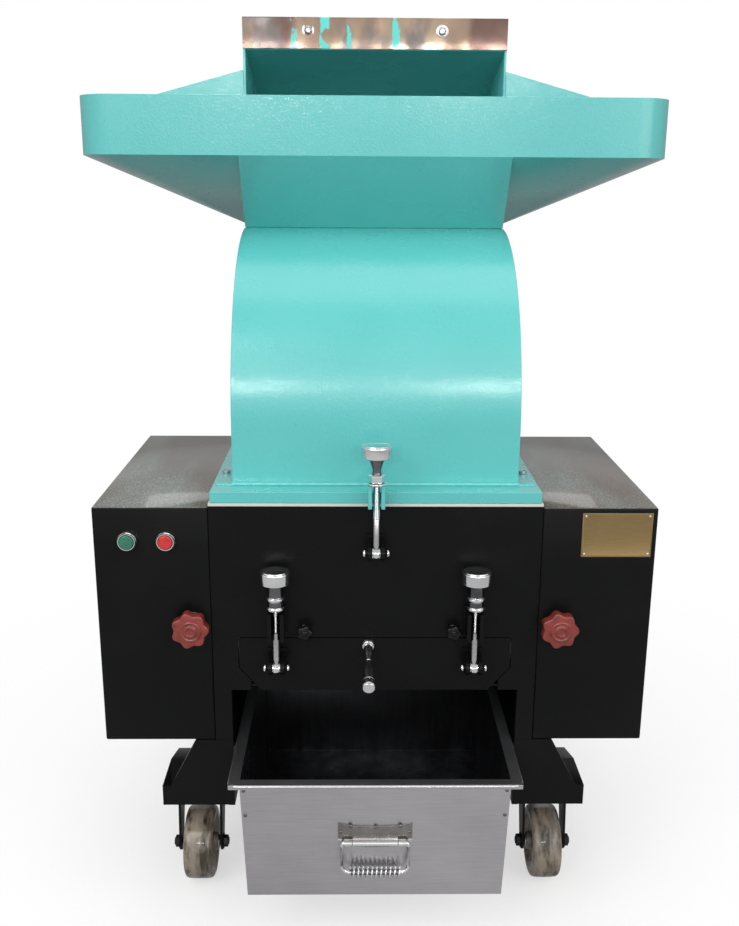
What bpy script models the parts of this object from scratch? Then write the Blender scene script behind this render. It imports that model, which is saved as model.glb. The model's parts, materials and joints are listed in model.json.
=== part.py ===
"""Plastic crusher on four swivel casters.

An arched upper chamber with a hooded feed hopper is clamped on a black lower chamber, which stands
between two guard boxes over a pull-out steel drawer. Metres, +Z up, the front faces -Y, and the
origin is on the floor under the middle of the machine.
"""

import math

import bmesh
import bpy
from mathutils import Matrix, Vector

# Joints between pieces
SEAT_GAP = 0.0003
PIN_CLEARANCE = 0.0006

# Heights of the body above the floor
BASE_BOTTOM = 0.183
BASE_TOP = 0.305
BAY_TOP = 0.395
BOX_TOP = 0.705
FLANGE_RISE = 0.007
FLANGE_THICKNESS = 0.018

# The body seen from above: distances behind the front plane and half widths
BODY_DEPTH = 0.640
BOX_DEPTH = 0.476
BOX_HALF_WIDTH = 0.440
BODY_HALF_WIDTH = 0.260
SIDE_PLATE = 0.012
FRONT_PLATE = 0.012
REAR_PLATE = 0.008

# Base sides, which flare towards the casters: widths outside the bay's walls
BAY_INSET = 0.028
BASE_PLATE = 0.010
GUSSET = 0.008
GUSSET_TOP_WIDTH = 0.061
GUSSET_FOOT_WIDTH = 0.113
GUSSET_FOOT_HEIGHT = 0.022
FOOT_PAD_WIDTH = 0.120
FOOT_PAD_DEPTH = 0.162
FOOT_PAD_STEP = 0.085
FOOT_PAD_HEIGHT = 0.036
FOOT_PAD_TOE = 0.012
DRAWER_RAIL = 0.016
DRAWER_RAIL_HEIGHT = 0.006

# Screen door in the lower chamber's front
DOOR_INSET = 0.014
DOOR_CORNER = 0.035
DOOR_CORNER_RISE = 0.040
DOOR_HEIGHT = 0.091
DOOR_SEAM = 0.0015
DOOR_HINGE_RISE = 0.006
DOOR_PIN_RADIUS = 0.0025
DOOR_PIN_CLEARANCE = 0.0003
DOOR_PIN_SEAT = 0.008
HINGE_RELIEF = 0.012
PULL_X = -0.010
PULL_DROP = 0.011
PULL_REACH = 0.112
PULL_DROOP = math.radians(15)

# Arched upper chamber
FLANGE_SETBACK = 0.003
FLANGE_LEDGE = 0.0315
CHAMBER_FRONT = 0.040
REAR_LEDGE = 0.020
CHAMBER_WALL = 0.010
ARCH_RADIUS = 0.300
CHAMBER_STRAIGHT = 0.085
ARCH_STEPS = 48

# Feed hopper and hood
SHEET = 0.004
THROAT_LEAD = 0.013
THROAT_SIDE = 0.093
RIM_OVERHANG = 0.086
RIM_HALF_WIDTH = 0.491
RIM_CORNER = 0.060
RIM_CORNER_STEPS = 12
TRAY_RISE = 0.118
BAND_HEIGHT = 0.094
HOOD_SETBACK = 0.034
HOOD_FRONT_RISE = 0.088
HOOD_BACK_RISE = 0.018
STRIP_HEIGHT = 0.046
STRIP_THICKNESS = 0.003
COVER_FRONT_RISE = 0.046
COVER_BACK_RISE = 0.010
COVER_SINK = 0.0245

# Swing clamps: an eye bolt on a clevis, and the fork that its knob bears on
CLAMP_Y = -0.030
EAR_INNER = 0.007
EAR_THICKNESS = 0.006
EAR_TIP = 0.008
PIN_RADIUS = 0.004
PIN_HALF_LENGTH = 0.0185
PAD_THICKNESS = 0.005
ROD_RADIUS = 0.005
EYE_RADIUS = 0.009
ROD_END = 0.020
TOP_PIN_DROP = 0.071
TOP_EAR_FOOT = 0.002
TOP_EAR_RISE = 0.020
TOP_KNOB_SEAT = 0.002
TOP_KNOB_HEIGHT = 0.063
SIDE_CLAMP_INSET = 0.062
SIDE_PIN_DROP = 0.037
SIDE_FORK_RISE = 0.010
SIDE_FORK_HEIGHT = 0.046
SIDE_KNOB_SEAT = 0.006
SIDE_KNOB_HEIGHT = 0.067
KNOB_RADIUS = 0.0235

# Drawer
DRAWER_HEIGHT = 0.205
DRAWER_FACE = -0.120
DRAWER_LENGTH = 0.430
DRAWER_CLEARANCE = 0.022
DRAWER_TAPER = 0.009
DRAWER_SHEET = 0.002
DRAWER_LIP = 0.015
DRAWER_LIP_HEIGHT = 0.0075

# Drawer's folding handle
HANDLE_PLATE_HALF_WIDTH = 0.058
HANDLE_PLATE_DROP = 0.074
HANDLE_PLATE_HEIGHT = 0.035
HANDLE_PLATE_THICKNESS = 0.002
HANDLE_PIN_RISE = 0.005
HANDLE_STANDOFF = 0.0105
WIRE_RADIUS = 0.003
BAIL_HALF_WIDTH = 0.052
BAIL_DROP = 0.052
BAIL_CORNER = 0.010
GRIP_RADIUS = 0.008
GRIP_HALF_LENGTH = 0.040
GRIP_COILS = 11

# Casters
CASTER_OFFSET = 0.070
CASTER_FRONT = 0.105
CASTER_REAR = 0.090
CASTER_TRAIL = 0.030
CASTER_PLATE = (0.094, 0.110, 0.005)
WHEEL_RADIUS = 0.0625
WHEEL_STEPS = 24
WHEEL_HALF_WIDTH = 0.025
AXLE_RADIUS = 0.006
AXLE_HALF_LENGTH = 0.048
FORK_LEG_INNER = 0.034
FORK_LEG_THICKNESS = 0.004
CROWN_HEIGHT = 0.014
CROWN_RADIUS = 0.036
AXLE_Z = WHEEL_RADIUS * math.cos(math.pi / WHEEL_STEPS)

# Controls
BUTTON_DROP = 0.053
BUTTON_INSETS = {"start": 0.054, "stop": 0.114}
BUTTON_RADIUS = 0.011
BUTTON_TRAVEL = 0.004
BEZEL_RADIUS = 0.015
BEZEL_DEPTH = 0.012
STAR_KNOB_OFFSET = 0.030
STAR_KNOB_DROP = 0.192
STAR_KNOB_RADIUS = 0.030
STAR_KNOB_DEPTHS = (0.016, 0.035)
STAR_LOBES = 7
STAR_EDGE = 0.002

# Rotor
ROTOR_Y = 0.330
ROTOR_DROP = 0.105
ROTOR_RADIUS = 0.115
SHAFT_RADIUS = 0.025
ROTOR_ARMS = 3

SMOOTH_ANGLE = math.radians(40)
FLANGE_HALF_WIDTH = BODY_HALF_WIDTH - FLANGE_SETBACK
CHAMBER_HALF_WIDTH = FLANGE_HALF_WIDTH - FLANGE_LEDGE
CHAMBER_BACK = BODY_DEPTH - REAR_LEDGE
BAY_HALF_WIDTH = BODY_HALF_WIDTH - BAY_INSET
DOOR_HALF_WIDTH = BAY_HALF_WIDTH - DOOR_INSET
DOOR_FOOT_HALF_WIDTH = DOOR_HALF_WIDTH - DOOR_CORNER
DOOR_HINGE_Z = BAY_TOP + DOOR_HINGE_RISE
DOOR_CORNER_Z = BAY_TOP + DOOR_CORNER_RISE
DOOR_TOP = BAY_TOP + DOOR_HEIGHT
PULL_Z = DOOR_TOP - PULL_DROP
DRAWER_TOP = BASE_TOP
DRAWER_BOTTOM = DRAWER_TOP - DRAWER_HEIGHT
DRAWER_TOP_HALF_WIDTH = BAY_HALF_WIDTH - DRAWER_CLEARANCE
DRAWER_BOTTOM_HALF_WIDTH = DRAWER_TOP_HALF_WIDTH - DRAWER_TAPER
CASTER_X = BAY_HALF_WIDTH + CASTER_OFFSET
CASTER_YS = {"front": CASTER_FRONT, "rear": BODY_DEPTH - CASTER_REAR}
HANDLE_PLATE_TOP = DRAWER_TOP - HANDLE_PLATE_DROP
HANDLE_PLATE_BOTTOM = HANDLE_PLATE_TOP - HANDLE_PLATE_HEIGHT
HANDLE_PIN_Y = DRAWER_FACE - HANDLE_STANDOFF
HANDLE_PIN_Z = HANDLE_PLATE_BOTTOM + HANDLE_PIN_RISE
FRONT_Y = -(BODY_DEPTH + HANDLE_PIN_Y - GRIP_RADIUS) / 2
FLANGE_BOTTOM = BOX_TOP + FLANGE_RISE
FLANGE_TOP = FLANGE_BOTTOM + FLANGE_THICKNESS
ARCH_CENTRE_Z = FLANGE_TOP + CHAMBER_STRAIGHT
CHAMBER_TOP = ARCH_CENTRE_Z + ARCH_RADIUS
THROAT_FRONT = CHAMBER_FRONT + ARCH_RADIUS - THROAT_LEAD
THROAT_BEND = THROAT_FRONT + THROAT_SIDE
RIM_FRONT = THROAT_FRONT - RIM_OVERHANG
RIM_BOTTOM = CHAMBER_TOP + TRAY_RISE
RIM_TOP = RIM_BOTTOM + BAND_HEIGHT
HOOD_FRONT = THROAT_FRONT + HOOD_SETBACK
HOOD_ROOF_FRONT = RIM_TOP + HOOD_FRONT_RISE
HOOD_ROOF_BACK = RIM_TOP + HOOD_BACK_RISE
TOP_PIN_Z = FLANGE_BOTTOM - TOP_PIN_DROP
TOP_FORK = (FLANGE_BOTTOM + TOP_EAR_FOOT, FLANGE_TOP + TOP_EAR_RISE)
TOP_KNOB_BOTTOM = TOP_FORK[1] + TOP_KNOB_SEAT
SIDE_CLAMP_X = DOOR_HALF_WIDTH - SIDE_CLAMP_INSET
SIDE_PIN_Z = DOOR_TOP - SIDE_PIN_DROP
SIDE_FORK = (DOOR_TOP + SIDE_FORK_RISE, DOOR_TOP + SIDE_FORK_RISE + SIDE_FORK_HEIGHT)
SIDE_KNOB_BOTTOM = SIDE_FORK[1] + SIDE_KNOB_SEAT
BUTTON_Z = BOX_TOP - BUTTON_DROP
STAR_KNOB_X = BODY_HALF_WIDTH + STAR_KNOB_OFFSET
STAR_KNOB_Z = BOX_TOP - STAR_KNOB_DROP
ROTOR_Z = BOX_TOP - ROTOR_DROP
SIDES = {"left": -1, "right": 1}


def clear_scene():
    for obj in list(bpy.data.objects):
        bpy.data.objects.remove(obj)


def material(name, colour, roughness, metallic):
    made = bpy.data.materials.new(name)
    made.use_nodes = True
    shader = made.node_tree.nodes["Principled BSDF"]
    shader.inputs["Base Color"].default_value = (*colour, 1)
    shader.inputs["Roughness"].default_value = roughness
    shader.inputs["Metallic"].default_value = metallic
    return made


def empty(name, location, parent=None):
    made = bpy.data.objects.new(name, None)
    bpy.context.scene.collection.objects.link(made)
    place(made, location, parent)
    return made


def place(obj, location, parent):
    """Puts obj at a place given in the machine's own axes, whatever its parent is."""
    offset = Vector(location)
    holder = parent
    while holder and holder.parent:
        offset -= holder.location
        holder = holder.parent
    obj.location = offset
    obj.parent = parent


def piece(name, shape, finish, parent, location=(0, 0, 0)):
    """Links a bmesh as an object, with its faces out and round parts shaded smooth."""
    bmesh.ops.recalc_face_normals(shape, faces=shape.faces)
    mesh = bpy.data.meshes.new(name)
    shape.to_mesh(mesh)
    shape.free()
    mesh.materials.append(finish)
    mesh.shade_smooth()
    mesh.set_sharp_from_angle(angle=SMOOTH_ANGLE)
    made = bpy.data.objects.new(name, mesh)
    bpy.context.scene.collection.objects.link(made)
    place(made, location, parent)
    return made


def join(obj, name, shape, parent, location=(0, 0, 0), operation="UNION"):
    """Joins a shape to obj, or cuts it away, with a hidden object that keeps its place."""
    other = piece(name, shape, obj.data.materials[0], parent, location)
    other.hide_render = True
    other.display_type = "WIRE"
    modifier = obj.modifiers.new(name, "BOOLEAN")
    modifier.object = other
    modifier.operation = operation
    modifier.solver = "EXACT"


def cut(obj, name, shape, parent, location=(0, 0, 0)):
    join(obj, name, shape, parent, location, "DIFFERENCE")


def chamfer(obj, width, segments=1):
    modifier = obj.modifiers.new("edges", "BEVEL")
    modifier.width = width
    modifier.segments = segments
    modifier.limit_method = "ANGLE"
    modifier.angle_limit = math.radians(50)


def box(low, high):
    shape = bmesh.new()
    size = [top - bottom for bottom, top in zip(low, high)]
    middle = [(top + bottom) / 2 for bottom, top in zip(low, high)]
    matrix = Matrix.Translation(middle) @ Matrix.Diagonal((*size, 1))
    bmesh.ops.create_cube(shape, size=1, matrix=matrix)
    return shape


def prism(outline, axis, start, end):
    """An outline in the other two axes, in X, Y, Z order, extruded along axis from start to end."""
    shape = bmesh.new()
    place = {
        "X": lambda u, v: (start, u, v),
        "Y": lambda u, v: (u, start, v),
        "Z": lambda u, v: (u, v, start),
    }[axis]
    face = shape.faces.new([shape.verts.new(place(u, v)) for u, v in outline])
    moved = bmesh.ops.extrude_face_region(shape, geom=[face])
    step = Vector([end - start if letter == axis else 0 for letter in "XYZ"])
    corners = [item for item in moved["geom"] if isinstance(item, bmesh.types.BMVert)]
    bmesh.ops.translate(shape, vec=step, verts=corners)
    return shape


def turned(profile, axis, steps):
    """A closed solid turned about axis from (radius, distance along it) pairs, ends on the axis."""
    shape = bmesh.new()
    rings = []
    for radius, along in profile:
        if radius == 0:
            rings.append([shape.verts.new((0, 0, along))])
            continue
        angles = [2 * math.pi * i / steps for i in range(steps)]
        points = [(radius * math.cos(a), radius * math.sin(a), along) for a in angles]
        rings.append([shape.verts.new(point) for point in points])
    for one, two in zip(rings, rings[1:]):
        for i in range(steps):
            j = (i + 1) % steps
            corners = [one[i % len(one)], one[j % len(one)], two[j % len(two)], two[i % len(two)]]
            shape.faces.new(list(dict.fromkeys(corners)))
    turn = {
        "X": Matrix.Rotation(math.pi / 2, 4, "Y"),
        "-Y": Matrix.Rotation(math.pi / 2, 4, "X"),
        "Z": Matrix.Identity(4),
    }[axis]
    bmesh.ops.transform(shape, matrix=turn, verts=shape.verts)
    return shape


def turned_ring(profile, steps):
    """A solid with a bore, turned about X from a closed (radius, distance) profile."""
    shape = bmesh.new()
    rings = []
    for radius, along in profile[:-1]:
        angles = [2 * math.pi * (i + 0.5) / steps for i in range(steps)]
        points = [(along, radius * math.cos(a), radius * math.sin(a)) for a in angles]
        rings.append([shape.verts.new(point) for point in points])
    rings.append(rings[0])
    for one, two in zip(rings, rings[1:]):
        for i in range(steps):
            j = (i + 1) % steps
            shape.faces.new((one[i], one[j], two[j], two[i]))
    return shape


def rod(axis, radius, start, end, steps=16):
    return turned([(0, start), (radius, start), (radius, end), (0, end)], axis, steps)


def tube(path, radius, sides):
    """A round wire along points (x, z), with flat ends."""
    shape = bmesh.new()
    rings = []
    for i, point in enumerate(path):
        before = Vector(path[max(i - 1, 0)])
        after = Vector(path[min(i + 1, len(path) - 1)])
        along = (after - before).normalized()
        ring = []
        for k in range(sides):
            angle = 2 * math.pi * k / sides
            out = radius * math.cos(angle)
            x = point[0] - along.y * out
            z = point[1] + along.x * out
            ring.append(shape.verts.new((x, radius * math.sin(angle), z)))
        rings.append(ring)
    for one, two in zip(rings, rings[1:]):
        for k in range(sides):
            m = (k + 1) % sides
            shape.faces.new((one[k], one[m], two[m], two[k]))
    shape.faces.new(rings[0])
    shape.faces.new(rings[-1])
    return shape


def arc(centre, radius, first, last, steps):
    """Points on an arc, angles in degrees."""
    angles = [math.radians(first + (last - first) * i / steps) for i in range(steps + 1)]
    return [(centre[0] + radius * math.cos(a), centre[1] + radius * math.sin(a)) for a in angles]


def mirrored(outline):
    return [(-u, v) for u, v in reversed(outline)]


def span(side, inner, outer):
    """An x range on one side of the machine, low end first."""
    return sorted((side * inner, side * outer))


def make_base(parent, finish):
    """Base sides of plate between end gussets, each with the rail that carries the drawer."""
    top = BASE_TOP - SEAT_GAP
    rail_top = DRAWER_TOP - DRAWER_LIP_HEIGHT - SEAT_GAP
    rail_back = BODY_DEPTH - REAR_PLATE - SEAT_GAP
    for word, side in SIDES.items():
        low, high = span(side, BAY_HALF_WIDTH, BAY_HALF_WIDTH + BASE_PLATE)
        web = box((low, 0, BASE_BOTTOM), (high, BODY_DEPTH, top))
        frame = piece("base_frame_" + word, web, finish, parent)
        low, high = span(side, BAY_HALF_WIDTH + 0.001, BAY_HALF_WIDTH + GUSSET_TOP_WIDTH - 0.001)
        shelf = box((low, 0.001, top - GUSSET), (high, BODY_DEPTH - 0.001, top - 0.0001))
        join(frame, "base_shelf_" + word, shelf, parent)
        low, high = span(side, BAY_HALF_WIDTH + 0.002, BAY_HALF_WIDTH + FOOT_PAD_WIDTH)
        toe = BASE_BOTTOM + FOOT_PAD_TOE
        pad = [
            (0.001, BASE_BOTTOM),
            (FOOT_PAD_DEPTH, BASE_BOTTOM),
            (FOOT_PAD_DEPTH, toe),
            (FOOT_PAD_STEP, BASE_BOTTOM + FOOT_PAD_HEIGHT),
            (0.001, BASE_BOTTOM + FOOT_PAD_HEIGHT),
        ]
        join(frame, "foot_pad_front_" + word, prism(pad, "X", low, high), parent)
        pad = [(BODY_DEPTH - y, z) for y, z in pad]
        join(frame, "foot_pad_rear_" + word, prism(pad, "X", low, high), parent)
        wide, deep, thick = CASTER_PLATE
        for end, y in CASTER_YS.items():
            x = side * CASTER_X
            low = (x - wide / 2, y - deep / 2, BASE_BOTTOM - thick)
            high = (x + wide / 2, y + deep / 2, BASE_BOTTOM + 0.003)
            join(frame, f"caster_plate_{end}_{word}", box(low, high), parent)
        flare = [
            (BAY_HALF_WIDTH + 0.003, BASE_BOTTOM + 0.001),
            (BAY_HALF_WIDTH + GUSSET_FOOT_WIDTH, BASE_BOTTOM + 0.001),
            (BAY_HALF_WIDTH + GUSSET_FOOT_WIDTH, BASE_BOTTOM + GUSSET_FOOT_HEIGHT),
            (BAY_HALF_WIDTH + GUSSET_TOP_WIDTH, top),
            (BAY_HALF_WIDTH + 0.003, top),
        ]
        flare = flare if side > 0 else mirrored(flare)
        for end, start in (("front", 0.0), ("rear", BODY_DEPTH - GUSSET)):
            gusset = prism(flare, "Y", start, start + GUSSET)
            join(frame, f"gusset_{end}_{word}", gusset, parent)
        low, high = span(side, BAY_HALF_WIDTH - DRAWER_RAIL, BAY_HALF_WIDTH + 0.003)
        rail = box((low, 0.004, rail_top - DRAWER_RAIL_HEIGHT), (high, rail_back, rail_top))
        join(frame, "drawer_rail_" + word, rail, parent)


def make_body(parent, finish):
    """Lower chamber of plates, with the guard boxes at its sides."""
    top = FLANGE_BOTTOM - SEAT_GAP
    inner = BODY_HALF_WIDTH - SIDE_PLATE
    plate_back = BODY_DEPTH - REAR_PLATE - SEAT_GAP
    for word, side in SIDES.items():
        low, high = span(side, inner, BODY_HALF_WIDTH)
        plate = box((low, FRONT_PLATE + SEAT_GAP, BASE_TOP), (high, plate_back, top))
        piece("side_plate_" + word, plate, finish, parent)
        low, high = span(side, BODY_HALF_WIDTH + SEAT_GAP, BOX_HALF_WIDTH)
        cover = box((low, 0, BASE_TOP), (high, BOX_DEPTH, BOX_TOP))
        chamfer(piece("guard_box_" + word, cover, finish, parent), 0.003, 2)
    side_of_door = DOOR_HALF_WIDTH + DOOR_SEAM
    foot_of_door = DOOR_FOOT_HALF_WIDTH + DOOR_SEAM
    half = [
        (foot_of_door, BAY_TOP),
        (BAY_HALF_WIDTH, BAY_TOP),
        (BAY_HALF_WIDTH, BASE_TOP),
        (BODY_HALF_WIDTH, BASE_TOP),
        (BODY_HALF_WIDTH, top),
    ]
    opening = [
        (-side_of_door, DOOR_TOP + DOOR_SEAM),
        (side_of_door, DOOR_TOP + DOOR_SEAM),
        (side_of_door, DOOR_CORNER_Z),
    ]
    front = [*half, *mirrored(half), (-side_of_door, DOOR_CORNER_Z), *opening]
    plate = piece("front_plate", prism(front, "Y", 0, FRONT_PLATE), finish, parent)
    for word, side in SIDES.items():
        where = (0, FRONT_PLATE / 2, DOOR_HINGE_Z)
        low, high = span(side, DOOR_FOOT_HALF_WIDTH, relief_end())
        cut(plate, "hinge_relief_" + word, rod("X", HINGE_RELIEF, low, high, 32), parent, where)
        low, high = door_pin_span(side)
        join(plate, "door_pin_" + word, rod("X", DOOR_PIN_RADIUS, low, high, 12), parent, where)
    skirt = BAY_HALF_WIDTH - SEAT_GAP
    rear = [
        (skirt, BASE_BOTTOM),
        (skirt, BASE_TOP),
        (BODY_HALF_WIDTH, BASE_TOP),
        (BODY_HALF_WIDTH, top),
    ]
    rear = [*rear, *mirrored(rear)]
    piece("rear_plate", prism(rear, "Y", BODY_DEPTH - REAR_PLATE, BODY_DEPTH), finish, parent)


def door_edge(z):
    """Half width of the door at a height on its slanted lower corner."""
    return DOOR_FOOT_HALF_WIDTH + DOOR_CORNER * (z - BAY_TOP) / (DOOR_CORNER_Z - BAY_TOP)


def relief_end():
    """Outer end of the round relief in which the door's lower corner turns."""
    return door_edge(DOOR_HINGE_Z + HINGE_RELIEF + DOOR_SEAM)


def door_pin_span(side):
    """X range of a hinge pin, from its bore in the door to its seat in the front plate."""
    return span(side, door_edge(DOOR_HINGE_Z) - DOOR_PIN_SEAT, relief_end() + DOOR_PIN_SEAT)


def make_door(parent, finish, chrome):
    """Screen door with its pull handle, on an axis along its lower edge."""
    half = [
        (DOOR_FOOT_HALF_WIDTH, BAY_TOP),
        (DOOR_HALF_WIDTH, DOOR_CORNER_Z),
        (DOOR_HALF_WIDTH, DOOR_TOP),
    ]
    outline = [*half, *mirrored(half)]
    door = piece("screen_door", prism(outline, "Y", 0, FRONT_PLATE), finish, parent)
    for word, side in SIDES.items():
        low, high = door_pin_span(side)
        bore = rod("X", DOOR_PIN_RADIUS + DOOR_PIN_CLEARANCE, low - SEAT_GAP, high + SEAT_GAP, 12)
        cut(door, "door_bore_" + word, bore, parent, (0, FRONT_PLATE / 2, DOOR_HINGE_Z))
    where = (PULL_X, -SEAT_GAP, PULL_Z)
    collar = rod("-Y", 0.0105, 0, 0.009)
    handle = piece("door_pull", collar, chrome, parent, where)
    profile = [
        (0, 0.006),
        (0.007, 0.006),
        (0.007, PULL_REACH * 0.35),
        (0.009, PULL_REACH * 0.5),
        (0.011, PULL_REACH - 0.018),
        (0.0115, PULL_REACH - 0.008),
        (0.009, PULL_REACH - 0.002),
        (0, PULL_REACH),
    ]
    bar = turned(profile, "-Y", 16)
    bmesh.ops.rotate(bar, cent=(0, 0, 0), matrix=Matrix.Rotation(PULL_DROOP, 3, "X"), verts=bar.verts)
    join(handle, "door_pull_bar", bar, parent, where)


def chamber_outline(inset, bottom):
    """Side view of the arched chamber, (distance behind the front plane, height)."""
    centre = (CHAMBER_FRONT + ARCH_RADIUS, ARCH_CENTRE_Z)
    curve = arc(centre, ARCH_RADIUS - inset, 180, 90, ARCH_STEPS)
    rear = CHAMBER_BACK - inset
    return [(CHAMBER_FRONT + inset, bottom), *curve, (rear, curve[-1][1]), (rear, bottom)]


def make_chamber(parent, finish):
    """Arched shell, open to the hopper above and to the lower chamber below, and its flange."""
    half = CHAMBER_HALF_WIDTH
    inner = half - CHAMBER_WALL
    bottom = FLANGE_TOP + SEAT_GAP
    outline = chamber_outline(0, bottom)
    shell = piece("upper_chamber", prism(outline, "X", -half, half), finish, parent)
    hollow = chamber_outline(CHAMBER_WALL, bottom - CHAMBER_WALL)
    cut(shell, "chamber_hollow", prism(hollow, "X", -inner, inner), parent)
    low = (-inner, CHAMBER_FRONT + ARCH_RADIUS + 0.005, CHAMBER_TOP - 2 * CHAMBER_WALL)
    high = (inner, CHAMBER_BACK - CHAMBER_WALL, CHAMBER_TOP + CHAMBER_WALL)
    cut(shell, "throat", box(low, high), parent)

    half = FLANGE_HALF_WIDTH
    flange_shape = box((-half, 0, FLANGE_BOTTOM), (half, BODY_DEPTH, FLANGE_TOP))
    flange = piece("chamber_flange", flange_shape, finish, parent)
    low = (-inner, CHAMBER_FRONT + CHAMBER_WALL, FLANGE_BOTTOM - SHEET)
    high = (inner, CHAMBER_BACK - CHAMBER_WALL, FLANGE_TOP + SHEET)
    cut(flange, "flange_window", box(low, high), parent)
    for word, side in SIDES.items():
        ear = ear_shape(side, TOP_FORK, 0.004)
        join(flange, "top_fork_" + word, ear, parent, (0, CLAMP_Y, 0))


def ear_shape(side, heights, root):
    """One ear of a clamp, from root behind the front plane out past the bolt."""
    low, high = span(side, EAR_INNER, EAR_INNER + EAR_THICKNESS)
    return box((low, -EAR_TIP, heights[0]), (high, root - CLAMP_Y, heights[1]))


def rounded_ear(side):
    """One ear of a clevis, rounded about its pin."""
    root = -CLAMP_Y - SEAT_GAP
    low, high = span(side, EAR_INNER, EAR_INNER + EAR_THICKNESS)
    outline = [(root, -0.020), *arc((0, 0), 0.011, -90, -270, 8), (root, 0.020)]
    return prism(outline, "X", low, high)


def clamp_pad(low_z, high_z):
    """Pad that the two ears of a fork or clevis are welded to, its back on the front plane."""
    half = EAR_INNER + EAR_THICKNESS + 0.002
    root = -CLAMP_Y - SEAT_GAP
    return box((-half, root - PAD_THICKNESS, low_z), (half, root, high_z))


def make_clevis(name, x, z, parent, finish):
    """Pad with two rounded ears and the pin through them."""
    where = (x, CLAMP_Y, z)
    made = piece(name, clamp_pad(-0.022, 0.022), finish, parent, where)
    for word, side in SIDES.items():
        join(made, f"{name}_ear_{word}", rounded_ear(side), parent, where)
    pin = rod("X", PIN_RADIUS, -PIN_HALF_LENGTH, PIN_HALF_LENGTH, 12)
    join(made, name + "_pin", pin, parent, where)


def make_fork(name, x, parent, finish):
    where = (x, CLAMP_Y, 0)
    low, high = SIDE_FORK
    made = piece(name, clamp_pad(low - 0.002, high + 0.002), finish, parent, where)
    for word, side in SIDES.items():
        join(made, f"{name}_ear_{word}", ear_shape(side, SIDE_FORK, -0.002), parent, where)


def make_bolt(name, x, pin_z, knob_z, height, profile, parent, finish):
    """Eye bolt that swings on its pin, and the knob screwed on it."""
    where = (x, CLAMP_Y, pin_z)
    rod_top = knob_z + ROD_END - pin_z
    bolt = piece("bolt_" + name, rod("Z", ROD_RADIUS, 0, rod_top, 12), finish, parent, where)
    half = EAR_INNER - 0.001
    join(bolt, "bolt_eye_" + name, rod("X", EYE_RADIUS, -half, half), parent, where)
    bore = rod("X", PIN_RADIUS + PIN_CLEARANCE, -PIN_HALF_LENGTH, PIN_HALF_LENGTH)
    cut(bolt, "bolt_bore_" + name, bore, parent, where)
    hole = ROD_RADIUS + PIN_CLEARANCE
    outer = [(radius, height * share) for radius, share in profile]
    whole = [(0, ROD_END + 0.001), (hole, ROD_END + 0.001), (hole, 0), *outer, (0, height)]
    shape = turned(whole, "Z", 20)
    piece("bolt_knob_" + name, shape, finish, bolt, (x, CLAMP_Y, knob_z))


def make_clamps(machine, door, black, chrome):
    cap = [
        (KNOB_RADIUS - 0.002, 0.62),
        (KNOB_RADIUS, 0.66),
        (KNOB_RADIUS, 0.92),
        (KNOB_RADIUS - 0.002, 0.98),
    ]
    hexed = [(0.013, 0), (0.013, 0.06), (0.0115, 0.08), (0.0115, 0.33), (0.009, 0.36)]
    necked = [(0.010, 0), (0.012, 0.05), (0.012, 0.24), (0.010, 0.28), (0.013, 0.34), (0.013, 0.56)]
    make_clevis("clevis_top", 0, TOP_PIN_Z, machine, black)
    hexed = [*hexed, (0.013, 0.56), *cap]
    make_bolt("top", 0, TOP_PIN_Z, TOP_KNOB_BOTTOM, TOP_KNOB_HEIGHT, hexed, machine, chrome)
    necked = [*necked, *cap]
    for word, side in SIDES.items():
        x = side * SIDE_CLAMP_X
        make_fork("clamp_fork_" + word, x, machine, black)
        make_clevis("clevis_" + word, x, SIDE_PIN_Z, door, black)
        make_bolt(word, x, SIDE_PIN_Z, SIDE_KNOB_BOTTOM, SIDE_KNOB_HEIGHT, necked, door, chrome)


def tray_surface():
    """Outer skin of the hopper's tray, from the throat up to the top of its band."""
    shape = bmesh.new()
    low = CHAMBER_TOP + SEAT_GAP
    half = CHAMBER_HALF_WIDTH

    def ring(side, z):
        centre = (RIM_HALF_WIDTH - RIM_CORNER, RIM_FRONT + RIM_CORNER)
        plan = [(half, RIM_FRONT), *arc(centre, RIM_CORNER, -90, 0, RIM_CORNER_STEPS)]
        plan.append((RIM_HALF_WIDTH, CHAMBER_BACK))
        return [shape.verts.new((side * x, y, z)) for x, y in plan]

    throats = []
    creases = []
    tops = []
    for side in SIDES.values():
        throat = [(half, THROAT_FRONT), (half, THROAT_BEND), (half, CHAMBER_BACK)]
        front, bend, rear = [shape.verts.new((side * x, y, low)) for x, y in throat]
        crease = ring(side, RIM_BOTTOM)
        top = ring(side, RIM_TOP)
        shape.faces.new((front, bend, crease[0]))
        for one, two in zip(crease[:-2], crease[1:-1]):
            shape.faces.new((bend, one, two))
        shape.faces.new((bend, rear, crease[-1], crease[-2]))
        for i in range(len(crease) - 1):
            shape.faces.new((crease[i], crease[i + 1], top[i + 1], top[i]))
        throats.append((front, rear))
        creases.append(crease)
        tops.append(top)
    for end, index in ((0, 0), (1, -1)):
        bottom = (throats[0][end], throats[1][end])
        middle = (creases[0][index], creases[1][index])
        upper = (tops[0][index], tops[1][index])
        shape.faces.new((*bottom, middle[1], middle[0]))
        shape.faces.new((*middle, upper[1], upper[0]))
    return shape


def hood_section(inset, back, bottom):
    return [
        (HOOD_FRONT - inset, bottom),
        (back, bottom),
        (back, HOOD_ROOF_BACK - inset),
        (HOOD_FRONT - inset, HOOD_ROOF_FRONT - inset),
    ]


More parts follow.
